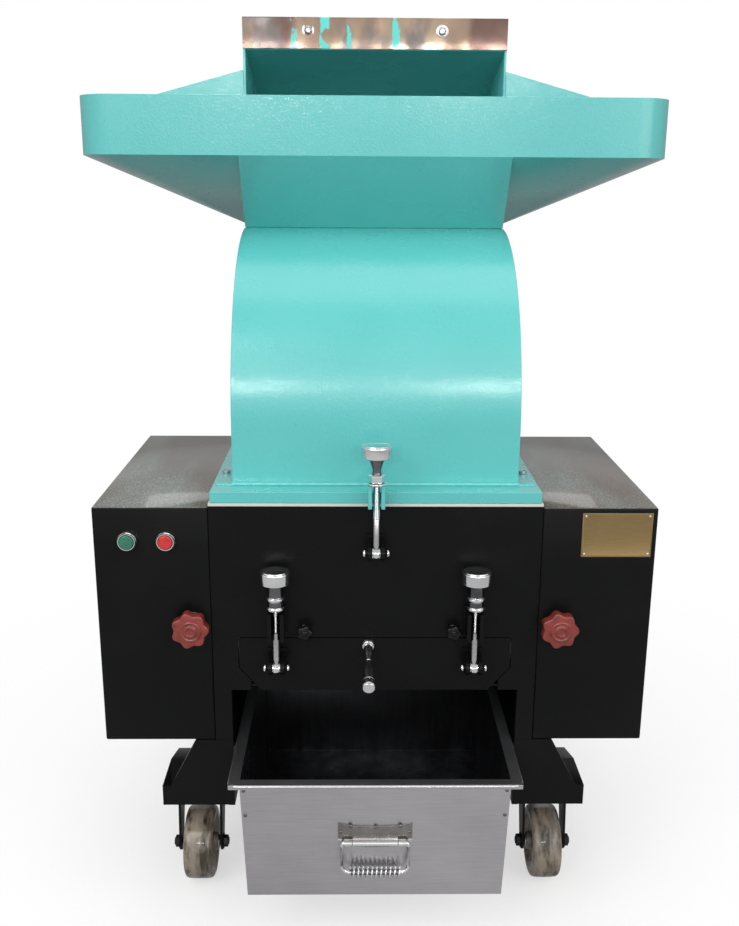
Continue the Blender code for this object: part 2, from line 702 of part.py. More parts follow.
def make_hopper(parent, finish, steel):
    """Tray round the throat, the hood over its back half and the plates beside the hood."""
    tray = piece("hopper_tray", tray_surface(), finish, parent)
    thick = tray.modifiers.new("sheet", "SOLIDIFY")
    thick.thickness = SHEET
    thick.offset = -1
    thick.use_even_offset = False

    half = CHAMBER_HALF_WIDTH
    bottom = RIM_TOP + SEAT_GAP
    outer = hood_section(0, CHAMBER_BACK, bottom)
    hood = piece("hopper_hood", prism(outer, "X", -half, half), finish, parent)
    inner = hood_section(SHEET, CHAMBER_BACK - SHEET, bottom - SHEET)
    cut(hood, "hood_hollow", prism(inner, "X", SHEET - half, half - SHEET), parent)
    lip_top = HOOD_ROOF_FRONT + STRIP_HEIGHT
    lip_low = (-half, HOOD_FRONT, HOOD_ROOF_FRONT - SHEET + 0.001)
    join(hood, "hood_lip", box(lip_low, (half, HOOD_FRONT + SHEET, lip_top)), parent)
    strip_low = (-half, HOOD_FRONT - STRIP_THICKNESS - SEAT_GAP, HOOD_ROOF_FRONT)
    strip_high = (half, HOOD_FRONT - SEAT_GAP, lip_top)
    piece("hood_strip", box(strip_low, strip_high), steel, parent)

    for word, side in SIDES.items():
        inside = half + SEAT_GAP
        outside = RIM_HALF_WIDTH - SHEET - SEAT_GAP
        back = CHAMBER_BACK - SHEET - SEAT_GAP
        high = RIM_TOP + COVER_FRONT_RISE
        low = RIM_TOP - COVER_SINK
        shape = bmesh.new()
        layers = []
        for lift in (0, SHEET):
            corners = [
                (inside, HOOD_FRONT, high),
                (inside, back, RIM_TOP + COVER_BACK_RISE),
                (outside, back, low),
                (outside, HOOD_FRONT, low),
            ]
            layers.append([shape.verts.new((side * x, y, z + lift)) for x, y, z in corners])
        for layer in layers:
            shape.faces.new(layer[:3])
            shape.faces.new((layer[0], layer[2], layer[3]))
        for i in range(4):
            j = (i + 1) % 4
            shape.faces.new((layers[0][i], layers[0][j], layers[1][j], layers[1][i]))
        cover = piece("cover_plate_" + word, shape, finish, parent)
        gable = [(inside, low), (outside, low), (outside, low + SHEET / 2), (inside, high + SHEET / 2)]
        gable = gable if side > 0 else mirrored(gable)
        join(cover, "cover_gable_" + word, prism(gable, "Y", HOOD_FRONT, HOOD_FRONT + SHEET), parent)


def drawer_block(inset, bottom, top):
    """Tapered box between two heights, its walls inset by that much."""
    rise = (DRAWER_TOP_HALF_WIDTH - DRAWER_BOTTOM_HALF_WIDTH) / (DRAWER_TOP - DRAWER_BOTTOM)

    def half(z):
        return DRAWER_BOTTOM_HALF_WIDTH + rise * (z - DRAWER_BOTTOM) - inset

    outline = [(-half(bottom), bottom), (half(bottom), bottom), (half(top), top), (-half(top), top)]
    return prism(outline, "Y", DRAWER_FACE + inset, DRAWER_FACE + DRAWER_LENGTH - inset)


def make_drawer(parent, steel, chrome):
    """Open steel bin, hung on the base's rails by the lip round its top."""
    bin_top = DRAWER_TOP - DRAWER_LIP_HEIGHT / 2
    bin_shell = piece("drawer_bin", drawer_block(0, DRAWER_BOTTOM, bin_top), steel, parent)
    outer = DRAWER_TOP_HALF_WIDTH + DRAWER_LIP
    lip_low = (-outer, DRAWER_FACE - DRAWER_LIP, DRAWER_TOP - DRAWER_LIP_HEIGHT)
    lip_high = (outer, DRAWER_FACE + DRAWER_LENGTH + DRAWER_LIP, DRAWER_TOP)
    join(bin_shell, "drawer_lip", box(lip_low, lip_high), parent)
    hollow = drawer_block(DRAWER_SHEET, DRAWER_BOTTOM + DRAWER_SHEET, DRAWER_TOP + SHEET)
    cut(bin_shell, "drawer_hollow", hollow, parent)

    face = DRAWER_FACE - SEAT_GAP
    front = face - HANDLE_PLATE_THICKNESS
    half = HANDLE_PLATE_HALF_WIDTH
    low = (-half, front, HANDLE_PLATE_BOTTOM)
    plate = piece("handle_plate", box(low, (half, face, HANDLE_PLATE_TOP)), steel, parent)
    where = (0, HANDLE_PIN_Y, HANDLE_PIN_Z)
    reach = front - HANDLE_PIN_Y + 0.001
    for word, side in SIDES.items():
        ends = span(side, BAIL_HALF_WIDTH - 0.014, BAIL_HALF_WIDTH - 0.009)
        ear = box((ends[0], -0.005, -0.0045), (ends[1], reach, 0.006))
        join(plate, "handle_ear_" + word, ear, parent, where)
    bore = rod("X", WIRE_RADIUS + PIN_CLEARANCE, -BAIL_HALF_WIDTH, BAIL_HALF_WIDTH, 12)
    cut(plate, "handle_bore", bore, parent, where)

    small = BAIL_CORNER / 2
    shoulder = arc((BAIL_HALF_WIDTH - small, -small), small, 90, 0, 4)
    heel_centre = (BAIL_HALF_WIDTH - BAIL_CORNER, BAIL_CORNER - BAIL_DROP)
    heel = arc(heel_centre, BAIL_CORNER, 0, -90, 5)
    right = [(BAIL_HALF_WIDTH - 0.016, 0), *shoulder, *heel]
    bail = piece("drawer_bail", tube([*right, *mirrored(right)], WIRE_RADIUS, 10), chrome, parent, where)
    bore = WIRE_RADIUS + PIN_CLEARANCE
    pitch = 2 * GRIP_HALF_LENGTH / GRIP_COILS
    coils = []
    for i in range(GRIP_COILS):
        start = -GRIP_HALF_LENGTH + i * pitch
        coils.append((GRIP_RADIUS - 0.0015, start))
        coils.append((GRIP_RADIUS, start + pitch * 0.3))
        coils.append((GRIP_RADIUS, start + pitch * 0.7))
    ends = [(GRIP_RADIUS - 0.0015, GRIP_HALF_LENGTH), (bore, GRIP_HALF_LENGTH)]
    grip = turned_ring([(bore, -GRIP_HALF_LENGTH), *coils, *ends, (bore, -GRIP_HALF_LENGTH)], 12)
    piece("bail_grip", grip, chrome, bail, (0, HANDLE_PIN_Y, HANDLE_PIN_Z - BAIL_DROP))


def make_controls(parent, chrome, star, colours):
    for word, inset in BUTTON_INSETS.items():
        where = (inset - BOX_HALF_WIDTH, -SEAT_GAP, BUTTON_Z)
        bezel = piece(word + "_bezel", rod("-Y", BEZEL_RADIUS, 0, BEZEL_DEPTH, 24), chrome, parent, where)
        well = rod("-Y", BUTTON_RADIUS + 0.0005, 0.001, BEZEL_DEPTH + SHEET, 24)
        cut(bezel, word + "_well", well, parent, where)
        back = 0.0012 + BUTTON_TRAVEL
        profile = [
            (0, back),
            (BUTTON_RADIUS, back),
            (BUTTON_RADIUS, BEZEL_DEPTH + 0.002),
            (BUTTON_RADIUS - 0.001, BEZEL_DEPTH + 0.003),
            (0, BEZEL_DEPTH + 0.003),
        ]
        piece(word + "_button", turned(profile, "-Y", 24), colours[word], parent, where)
    for word, side in SIDES.items():
        where = (side * STAR_KNOB_X, -SEAT_GAP, STAR_KNOB_Z)
        knob = piece("star_knob_" + word, star_shape(), star, parent, where)
        chamfer(knob, STAR_EDGE, 2)
        stem = rod("-Y", 0.011, 0, STAR_KNOB_DEPTHS[0] + 0.002)
        join(knob, "star_stem_" + word, stem, parent, where)


def star_shape():
    """Hand knob with round lobes, flat at the back and front."""
    steps = STAR_LOBES * 8
    outline = []
    for i in range(steps):
        angle = 2 * math.pi * i / steps
        radius = STAR_KNOB_RADIUS * (0.92 + 0.08 * math.cos(STAR_LOBES * angle))
        outline.append((radius * math.cos(angle), radius * math.sin(angle)))
    return prism(outline, "Y", -STAR_KNOB_DEPTHS[1], -STAR_KNOB_DEPTHS[0])


def make_caster(name, x, y, parent, black, tyre):
    """Swivel caster. The fork's origin is on the swivel axis and the wheel's on its axle."""
    where = (x, y, 0)
    top = BASE_BOTTOM - CASTER_PLATE[2] - SEAT_GAP
    crown = rod("Z", CROWN_RADIUS, top - CROWN_HEIGHT, top, 20)
    fork = piece(name + "_fork", crown, black, parent, where)
    reach = FORK_LEG_INNER + 0.002
    web = box((-reach, -0.026, top - CROWN_HEIGHT + 0.001), (reach, 0.026, top - 0.003))
    join(fork, name + "_web", web, parent, where)
    curve = [(u - CASTER_TRAIL, AXLE_Z + v) for u, v in arc((0, 0), 0.015, 180, 360, 6)]
    leg = [(-0.032, top - 0.002), *curve, (0.026, top - 0.002)]
    for word, side in SIDES.items():
        low, high = span(side, FORK_LEG_INNER, FORK_LEG_INNER + FORK_LEG_THICKNESS)
        join(fork, f"{name}_leg_{word}", prism(leg, "X", low, high), parent, where)
    axle_at = (x, y - CASTER_TRAIL, AXLE_Z)
    axle = rod("X", AXLE_RADIUS, -AXLE_HALF_LENGTH, AXLE_HALF_LENGTH, 12)
    join(fork, name + "_axle", axle, parent, axle_at)
    bore = AXLE_RADIUS + PIN_CLEARANCE
    half = WHEEL_HALF_WIDTH
    hub = half + 0.005
    tread = WHEEL_RADIUS
    side_profile = [
        (bore, hub),
        (0.016, hub),
        (0.018, half - 0.005),
        (tread - 0.020, half - 0.005),
        (tread - 0.017, half),
        (tread - 0.006, half),
        (tread - 0.001, half - 0.006),
        (tread, half * 0.4),
    ]
    profile = [*[(radius, -along) for radius, along in side_profile], *reversed(side_profile)]
    wheel = turned_ring([*profile, profile[0]], WHEEL_STEPS)
    piece(name + "_wheel", wheel, tyre, fork, axle_at)


def make_rotor(parent, finish):
    """Shaft with knife arms, seen down the throat."""
    half = BODY_HALF_WIDTH - SIDE_PLATE - SEAT_GAP
    where = (0, ROTOR_Y, ROTOR_Z)
    rotor = piece("rotor", rod("X", SHAFT_RADIUS, -half, half, 16), finish, parent, where)
    half = CHAMBER_HALF_WIDTH - CHAMBER_WALL - 0.006
    knife = [
        (0.030, -0.045),
        (ROTOR_RADIUS, -0.020),
        (ROTOR_RADIUS, 0.0),
        (0.060, 0.022),
    ]
    outline = []
    for arm in range(ROTOR_ARMS):
        turn = Matrix.Rotation(2 * math.pi * arm / ROTOR_ARMS, 2)
        outline.extend(tuple(turn @ Vector(point)) for point in knife)
    join(rotor, "rotor_arms", prism(outline, "X", -half, half), parent, where)


def main():
    clear_scene()
    teal = material("teal_paint", (0.145, 0.55, 0.50), 0.3, 0)
    black = material("black_paint", (0.012, 0.012, 0.013), 0.25, 0)
    chrome = material("chrome", (0.75, 0.75, 0.76), 0.12, 1)
    steel = material("brushed_steel", (0.42, 0.42, 0.42), 0.35, 1)
    red = material("red_plastic", (0.35, 0.03, 0.02), 0.35, 0)
    green = material("green_plastic", (0.03, 0.30, 0.12), 0.3, 0)
    tyre = material("wheel_nylon", (0.45, 0.38, 0.24), 0.45, 0)
    machine = empty("machine", (0, FRONT_Y, 0))
    door = empty("door_hinge", (0, FRONT_PLATE / 2, DOOR_HINGE_Z), machine)
    drawer = empty("drawer_slide", (0, DRAWER_FACE, DRAWER_TOP), machine)

    make_base(machine, black)
    make_body(machine, black)
    make_door(door, black, chrome)
    make_chamber(machine, teal)
    make_clamps(machine, door, black, chrome)
    make_hopper(machine, teal, steel)
    make_drawer(drawer, steel, chrome)
    make_controls(machine, chrome, red, {"start": green, "stop": red})
    make_rotor(machine, steel)
    for end, y in CASTER_YS.items():
        for word, side in SIDES.items():
            make_caster(f"caster_{end}_{word}", side * CASTER_X, y, machine, black, tyre)


main()
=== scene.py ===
"""Looks of the plastic crusher: paint, metal, small fittings, studio light and the photo's camera."""

import json
import math

import bmesh
import bpy
from mathutils import Matrix, Vector


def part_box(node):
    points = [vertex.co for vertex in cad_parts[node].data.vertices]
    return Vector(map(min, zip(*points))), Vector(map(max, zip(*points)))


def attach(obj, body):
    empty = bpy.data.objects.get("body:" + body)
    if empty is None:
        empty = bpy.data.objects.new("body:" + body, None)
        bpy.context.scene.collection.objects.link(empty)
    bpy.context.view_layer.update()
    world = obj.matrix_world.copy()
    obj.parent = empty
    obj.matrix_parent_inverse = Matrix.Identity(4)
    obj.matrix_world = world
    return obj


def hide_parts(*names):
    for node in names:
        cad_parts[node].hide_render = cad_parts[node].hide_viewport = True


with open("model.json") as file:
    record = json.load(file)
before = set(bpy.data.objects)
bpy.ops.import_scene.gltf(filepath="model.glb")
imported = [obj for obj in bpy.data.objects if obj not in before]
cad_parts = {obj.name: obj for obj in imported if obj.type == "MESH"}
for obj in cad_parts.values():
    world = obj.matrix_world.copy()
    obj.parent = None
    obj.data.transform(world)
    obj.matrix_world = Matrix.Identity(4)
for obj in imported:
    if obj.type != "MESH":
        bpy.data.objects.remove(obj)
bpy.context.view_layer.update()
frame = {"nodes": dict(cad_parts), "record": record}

# Camera
CAMERA_AT = (-0.0342, -1.77165, 1.1855)
CAMERA_TILT = math.radians(15.04)
CAMERA_YAW = math.radians(-0.887)
CAMERA_ROLL = math.radians(-0.365)
LENS = 40.05

# Softened edges
WELD = 0.00002
EDGE = 0.0009
THIN_EDGE = 0.0005

# Fittings on the body
GOLD_PLATE = ((0.322, 0.432), (0.625, 0.697))
PLATE_RIVET_INSET = 0.005
PLATE_RIVET = (0.0020, 0.0014)
SMALL_KNOB_XS = (-0.112, 0.125)
SMALL_KNOB_Z = 0.503
SMALL_KNOB_RADIUS = 0.0130
SMALL_KNOB_LOBES = 5
SMALL_KNOB_LOBE_DEPTH = 0.11
STRIP_STEPS = 48
STRIP_LAP = 0.0036
STRIP_FOLD = 0.0042
STRIP_BOLT_X = 0.114
STRIP_BOLT_RISE = 0.55
STRIP_WASHER = (0.0105, 0.0013)
BARE_EDGE_Z = 0.7072
BARE_EDGE_BLUR = 0.0004
WELD_STEPS = 120
WELD_LUMPS = 7
FLANGE_SCREW_PLACES = (0.12, 0.5, 0.88)
FLANGE_SCREW_SHIFT = 0.002

# Swing bolts and their knobs
ROD_RADIUS = 0.005
THIN_ROD = 0.0034
THREAD_PITCH = 0.00175
THREAD_DEPTH = 0.0007
SHANK_TOPS = {"top": 0.056, "side": 0.061}
EYE_RADIUS = 0.009
EYE_HALF = 0.006
EYE_BOSS = (0.0056, 0.0028)
EYE_BOSS_REACH = 0.0086
PIN_BORE = 0.0046
PIN_HEAD = (0.0064, 0.0045)
PIN_HEAD_REACH = 0.0172
ROD_IN_KNOB = 0.020
TOP_NUT_RISE = 0.0032
KNOB_ROUNDING = 0.0006

# Star knobs
STAR_WASHER_BORE = 0.0125
STAR_WASHER_RADIUS = 0.0185
STAR_WASHER_THICKNESS = 0.0020

# Door's pull
PULL_AT = (-0.011, 0.475)
PULL_DROOP = math.radians(15)
PULL_REACH = 0.103

# Drawer
DRAWER_LIP = 0.015
DRAWER_TAPER = 0.009
DRAWER_RIVET_RISES = (0.91, 0.70)
DRAWER_RIVET_INSET = 0.006
DRAWER_RIVET = (0.0030, 0.0014)
HEM_RADIUS = 0.0032
HEM_CORNER = 0.012
FOOT_X = -0.131
FOOT_HALF = 0.015
FOOT_DEPTH = 0.018
FOOT_SETBACK = 0.012

# Drawer's handle
PLATE_STEPS = 36
LOWER_TAB_HALF = 0.041
LOWER_TAB_DROP = 0.0105
KNUCKLE_RADIUS = 0.0046
KNUCKLE_LENGTH = 0.012
KNUCKLE_INSET = 0.010
HANDLE_RIVET_OUT = 0.0022
BAIL_WIRE = 0.003
BAIL_TOP_BEND = 0.005
BAIL_FOOT_BEND = 0.012
SPRING_WIRE = 0.0015
SPRING_RADIUS = 0.0082
SPRING_TURNS = 11
BAIL_CORE = 0.0046

# Wheels
WHEEL_STEPS = 72
AXLE_BORE = 0.0066
HUB_STEP = 0.005
AXLE_NUT_REACH = 0.0382
AXLE_NUT = (0.0105, 0.0085)
CASTER_BOLT = (0.0070, 0.0065)
CASTER_BOLT_XS = (-0.037, 0.037)
CASTER_BOLT_YS = (-0.044, 0.044)
SWIVEL_OFFSET = 0.030

# Light
WORLD_FRONT = 1.25
WORLD_BACK = 0.55
WORLD_OVERHEAD = 0.35
FLOOR_BOUNCE = 0.16
FLOOR_IN_GLOSS = 0.50
FLOOR_GLOW = 0.55
FLOOR_SIZE = 14
FLOOR_DROP = 0.0005
KEY_POWER = 38
FILL_POWER = 22
TOP_POWER = 26
BACK_POWER = 16
STRIP_POWER = 13
STRIP_SIZE = (0.55, 0.20)
AIM_HEIGHT = 0.85

# Metals: light and dark colour, roughness from and to, the grain's stretch, scale and depth
METALS = {
    "chrome_plate": ((0.88, 0.88, 0.88), (0.62, 0.62, 0.63), (0.06, 0.18), (1, 1, 1), 40, 0.02),
    "brushed_stainless": ((0.58, 0.565, 0.58), (0.43, 0.42, 0.435), (0.30, 0.46), (0.04, 1, 1), 420, 0.05),
    "bright_steel": ((0.66, 0.66, 0.65), (0.36, 0.36, 0.36), (0.16, 0.34), (0.2, 1, 1), 260, 0.06),
    # Chrome darkened to paint the dark reflection in the knobs' necks.
    "dark_reflection_chrome": ((0.24, 0.24, 0.25), (0.07, 0.07, 0.075), (0.08, 0.22), (1, 1, 1), 60, 0.03),
    # Chrome darkened to paint the dark reflection in the door pull's neck and grip.
    "grip_dark_reflection_chrome": ((0.56, 0.56, 0.57), (0.30, 0.30, 0.31), (0.10, 0.24), (1, 1, 1), 60, 0.04),
    # Steel darkened for the drawer's inside: partly soot and oil, partly painted shade under the machine.
    "soot_and_shade_steel": ((0.150, 0.155, 0.165), (0.014, 0.014, 0.016), (0.22, 0.38), (1, 1, 0.10), 34, 0.06),
    "gold_plate": ((0.40, 0.28, 0.13), (0.26, 0.18, 0.08), (0.28, 0.48), (0.1, 1, 1), 500, 0.08),
    "dark_steel": ((0.22, 0.22, 0.22), (0.10, 0.10, 0.10), (0.28, 0.42), (1, 1, 1), 200, 0.05),
    "worn_plate": ((0.34, 0.32, 0.31), (0.16, 0.145, 0.14), (0.20, 0.36), (1, 1, 1), 70, 0.05),
}

# Plastics: light and dark colour, roughness, the grain's depth and the specular level
PLASTICS = {
    "dark_red_plastic": ((0.27, 0.040, 0.028), (0.15, 0.022, 0.017), 0.26, 0.1, 0.5),
    "green_button": ((0.030, 0.20, 0.12), (0.020, 0.14, 0.085), 0.22, 0.03, 0.5),
    "red_button": ((0.62, 0.035, 0.030), (0.46, 0.025, 0.022), 0.22, 0.03, 0.5),
    "black_plastic": ((0.006, 0.006, 0.0065), (0.003, 0.003, 0.003), 0.16, 0.1, 0.22),
    "pale_rubber": ((0.62, 0.60, 0.56), (0.48, 0.46, 0.42), 0.5, 0.1, 0.5),
}

SIDES = {"left": -1, "right": 1}
ACROSS = (1, 0, 0)
FORWARD = (0, -1, 0)
UP = (0, 0, 1)
FRONT_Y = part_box("front_plate")[0].y
SUBPARTS = {part["node"]: part["material_slot"] for part in frame["record"]["subparts"]}
BODIES = frame["record"]["behaviour"]["bodies"]
BODY_OF = {node: body for body, nodes in BODIES.items() for node in nodes}


def tree_of(name):
    """A new material with its node tree and Principled shader."""
    made = bpy.data.materials.new(name)
    made.use_nodes = True
    return made, made.node_tree, made.node_tree.nodes["Principled BSDF"]


def coordinates(tree, scale=(1, 1, 1)):
    source = tree.nodes.new("ShaderNodeTexCoord")
    mapping = tree.nodes.new("ShaderNodeMapping")
    mapping.inputs["Scale"].default_value = scale
    tree.links.new(source.outputs["Object"], mapping.inputs["Vector"])
    return mapping.outputs["Vector"]


def noise(tree, scale, detail=4, roughness=0.55, stretch=(1, 1, 1)):
    made = tree.nodes.new("ShaderNodeTexNoise")
    made.inputs["Scale"].default_value = scale
    made.inputs["Detail"].default_value = detail
    made.inputs["Roughness"].default_value = roughness
    tree.links.new(coordinates(tree, stretch), made.inputs["Vector"])
    return made.outputs["Fac"]


def level(tree, value, low, high, out_low=0.0, out_high=1.0):
    """Maps low..high of a value to out_low..out_high, clamped."""
    made = tree.nodes.new("ShaderNodeMapRange")
    made.inputs["From Min"].default_value = low
    made.inputs["From Max"].default_value = high
    made.inputs["To Min"].default_value = out_low
    made.inputs["To Max"].default_value = out_high
    tree.links.new(value, made.inputs["Value"])
    return made.outputs["Result"]


def maths(tree, operation, one, two=0.0):
    made = tree.nodes.new("ShaderNodeMath")
    made.operation = operation
    for socket, value in zip(made.inputs, (one, two)):
        if isinstance(value, (int, float)):
            socket.default_value = value
        else:
            tree.links.new(value, socket)
    return made.outputs["Value"]


def mix(tree, factor, one, two):
    """Colour mix, where each colour is a triple or another node's output."""
    made = tree.nodes.new("ShaderNodeMix")
    made.data_type = "RGBA"
    tree.links.new(factor, made.inputs["Factor"])
    colour_sockets = [socket for socket in made.inputs if socket.type == "RGBA"]
    for socket, value in zip(colour_sockets, (one, two)):
        if isinstance(value, tuple):
            socket.default_value = (*value, 1)
        else:
            tree.links.new(value, socket)
    return [socket for socket in made.outputs if socket.type == "RGBA"][0]


def feed(shader, socket, value):
    """Links a node's output to one of the shader's inputs."""
    shader.id_data.links.new(value, shader.inputs[socket])


def bump(tree, shader, height, strength, distance, socket="Normal"):
    made = tree.nodes.new("ShaderNodeBump")
    made.inputs["Strength"].default_value = strength
    made.inputs["Distance"].default_value = distance
    tree.links.new(height, made.inputs["Height"])
    before = shader.inputs[socket]
    if before.is_linked:
        tree.links.new(before.links[0].from_socket, made.inputs["Normal"])
    tree.links.new(made.outputs["Normal"], before)


def place_axis(tree, axis, space="Object"):
    """One component of the place on the object, in metres at rest, or of another space's vector."""
    source = tree.nodes.new("ShaderNodeTexCoord")
    split = tree.nodes.new("ShaderNodeSeparateXYZ")
    tree.links.new(source.outputs[space], split.inputs["Vector"])
    return split.outputs[axis]


def teal_paint():
    """Glossy enamel with orange peel that breaks its highlights up, and slightly uneven colour."""
    made, tree, shader = tree_of("teal_enamel")
    patches = level(tree, noise(tree, 2.6, 4), 0.35, 0.65)
    base = mix(tree, patches, (0.088, 0.468, 0.452), (0.108, 0.505, 0.486))
    dust = level(tree, noise(tree, 300, 3), 0.68, 0.80, 0, 0.22)
    feed(shader, "Base Color", mix(tree, dust, base, (0.24, 0.62, 0.60)))
    sheen = level(tree, noise(tree, 9, 4), 0.3, 0.7, 0.21, 0.33)
    feed(shader, "Roughness", sheen)
    shader.inputs["Coat Weight"].default_value = 0.5
    shader.inputs["Coat Roughness"].default_value = 0.08
    bump(tree, shader, noise(tree, 300, 2), 0.28, 0.0010)
    bump(tree, shader, noise(tree, 14, 3), 0.08, 0.004)
    bump(tree, shader, noise(tree, 330, 1), 0.26, 0.0010, "Coat Normal")
    return made


def black_paint():
    """Black enamel with faint smudges, and a bare machined edge at the body's top."""
    made, tree, shader = tree_of("black_enamel")
    smudge = level(tree, noise(tree, 7, 5), 0.52, 0.78, 0, 0.5)
    base = mix(tree, smudge, (0.0042, 0.0043, 0.0046), (0.0085, 0.0085, 0.0088))
    height = place_axis(tree, "Z")
    bare = level(tree, height, BARE_EDGE_Z - BARE_EDGE_BLUR, BARE_EDGE_Z + BARE_EDGE_BLUR)
    feed(shader, "Base Color", mix(tree, bare, base, (0.62, 0.62, 0.58)))
    worn = level(tree, noise(tree, 11, 5), 0.3, 0.7, 0.26, 0.42)
    feed(shader, "Roughness", worn)
    shader.inputs["Specular IOR Level"].default_value = 0.12
    bump(tree, shader, noise(tree, 190, 2), 0.10, 0.0008)
    return made


def hammered_black():
    """Glossy hammered finish of the guard boxes' tops, with pale specks painted as glints, and a cast from
    brown to green-grey that is partly tone and partly a painted reflection of the teal hopper.
    """
    made, tree, shader = tree_of("hammered_black")
    # Pale specks painted as glints in the hammered finish.
    glint_flecks = level(tree, noise(tree, 520, 3, 0.7), 0.52, 0.70)
    # Cast from brown to green-grey: partly the paint's tone, partly a painted reflection of the teal
    # hopper.
    cast = level(tree, noise(tree, 9, 2, 0.5, (1, 0.3, 1)), 0.42, 0.58)
    dark = mix(tree, cast, (0.072, 0.050, 0.036), (0.105, 0.112, 0.098))
    pale = mix(tree, cast, (0.25, 0.19, 0.145), (0.46, 0.50, 0.45))
    feed(shader, "Base Color", mix(tree, glint_flecks, dark, pale))
    shader.inputs["Roughness"].default_value = 0.24
    shader.inputs["Coat Weight"].default_value = 0.6
    shader.inputs["Coat Roughness"].default_value = 0.07
    bump(tree, shader, noise(tree, 420, 2), 0.35, 0.0006)
    return made


def metal(name):
    """Metal with fine grain along one direction and soft blotches."""
    colour, dark, (rough_low, rough_high), stretch, grain_scale, grain = METALS[name]
    made, tree, shader = tree_of(name)
    shader.inputs["Metallic"].default_value = 1
    blotch = level(tree, noise(tree, 6, 5), 0.32, 0.70)
    lines = noise(tree, grain_scale, 3, 0.6, stretch)
    fine = level(tree, lines, 0.3, 0.7, 0, 0.4)
    factor = maths(tree, "ADD", maths(tree, "MULTIPLY", blotch, 0.6), fine)
    feed(shader, "Base Color", mix(tree, factor, dark, colour))
    rough = level(tree, factor, 0, 1, rough_high, rough_low)
    feed(shader, "Roughness", rough)
    bump(tree, shader, lines, grain, 0.0008)
    return made


def strip_steel():
    """Polished strip with warm patches, partly stains and partly painted reflections of warm surroundings,
    and a few smears of the hopper's paint.
    """
    made, tree, shader = tree_of("polished_strip")
    # Warm patches in the metal's colour: partly stains, partly painted reflections.
    stain_and_reflection = level(tree, noise(tree, 9, 3, 0.5, (1, 1, 0.35)), 0.42, 0.56)
    grey = level(tree, noise(tree, 16, 3, 0.6, (1, 1, 0.5)), 0.50, 0.64)
    warm = mix(tree, stain_and_reflection, (0.165, 0.105, 0.088), (0.37, 0.28, 0.20))
    base = mix(tree, grey, warm, (0.19, 0.165, 0.155))
    across = place_axis(tree, "X")
    smears = None
    for place, width in ((-0.138, 0.006), (-0.086, 0.010), (-0.044, 0.005), (0.036, 0.008)):
        distance = maths(tree, "ABSOLUTE", maths(tree, "SUBTRACT", across, place))
        wobble = maths(tree, "MULTIPLY", noise(tree, 40, 2), 0.010)
        near = level(tree, maths(tree, "ADD", distance, wobble), width + 0.002, width + 0.004, 1, 0)
        smears = near if smears is None else maths(tree, "MAXIMUM", smears, near)
    broken = maths(tree, "MULTIPLY", smears, level(tree, noise(tree, 26, 2), 0.42, 0.48))
    feed(shader, "Base Color", mix(tree, broken, base, (0.10, 0.62, 0.56)))
    feed(shader, "Metallic", level(tree, broken, 0, 1, 1, 0))
    feed(shader, "Roughness", level(tree, noise(tree, 30, 4), 0.3, 0.7, 0.14, 0.30))
    bump(tree, shader, noise(tree, 10, 3), 0.12, 0.006)
    return made


def wheel_nylon():
    """Scuffed, dirty wheel, darker where dirt sits."""
    made, tree, shader = tree_of("dirty_nylon")
    dirt = level(tree, noise(tree, 46, 5, 0.62, (1, 0.45, 0.45)), 0.44, 0.60)
    streak = level(tree, noise(tree, 70, 4, 0.6, (1, 0.12, 0.12)), 0.42, 0.62, 0, 0.55)
    base = mix(tree, dirt, (0.030, 0.021, 0.012), (0.27, 0.225, 0.165))
    feed(shader, "Base Color", mix(tree, streak, base, (0.36, 0.31, 0.255)))
    feed(shader, "Roughness", level(tree, dirt, 0, 1, 0.50, 0.20))
    shader.inputs["Coat Weight"].default_value = 0.3
    bump(tree, shader, noise(tree, 90, 4), 0.35, 0.0015)
    return made


def plastic(name):
    """Moulded plastic with a little dust and unevenness."""
    colour, dark, roughness, grain, gloss = PLASTICS[name]
    made, tree, shader = tree_of(name)
    dust = level(tree, noise(tree, 75, 5), 0.35, 0.7)
    feed(shader, "Base Color", mix(tree, dust, dark, colour))
    feed(shader, "Roughness", level(tree, dust, 0, 1, roughness + 0.12, roughness))
    shader.inputs["Specular IOR Level"].default_value = gloss
    shader.inputs["Coat Weight"].default_value = 0.4 * gloss
    bump(tree, shader, noise(tree, 120, 3), grain, 0.001)
    return made


def finish_shape(shape, name, finishes, angle=38):
    """Links a bmesh as a smooth-shaded object with sharp corners where its faces turn."""
    bmesh.ops.recalc_face_normals(shape, faces=shape.faces)
    mesh = bpy.data.meshes.new(name)
    shape.to_mesh(mesh)
    shape.free()
    for finish in finishes:
        mesh.materials.append(finish)
    mesh.shade_smooth()
    mesh.set_sharp_from_angle(angle=math.radians(angle))
    made = bpy.data.objects.new(name, mesh)
    bpy.context.scene.collection.objects.link(made)
    return made


def soften(made, width):
    edges = made.modifiers.new("edges", "BEVEL")
    edges.width = width
    edges.segments = 2
    edges.limit_method = "ANGLE"
    edges.angle_limit = math.radians(32)
    edges.harden_normals = True


def shape_to_piece(name, shape, finish, body, bevel=0.0):
    """Links a bmesh, gives it its finish and lets it ride on a body."""
    made = finish_shape(shape, name, [finish])
    if bevel:
        soften(made, bevel)
    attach(made, body)


def stands_for(node, shape, finishes, bevel=0.0, name=None):
    """Puts a finer piece in the place of a CAD node, on the same body and slot."""
    made = finish_shape(shape, name or node + "_fine", finishes)
    if bevel:
        soften(made, bevel)
    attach(made, BODY_OF[node])
    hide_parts(node)


def faces_up(face):
    return face.normal.z > 0.7


def faces_middle(face):
    """Whether a face looks towards the middle of the drawer."""
    level_with_rim = abs(face.normal.z) > 0.9 and face.calc_center_median().z > middle("drawer_bin").z
    return not level_with_rim and face.normal.dot(middle("drawer_bin") - face.calc_center_median()) > 0


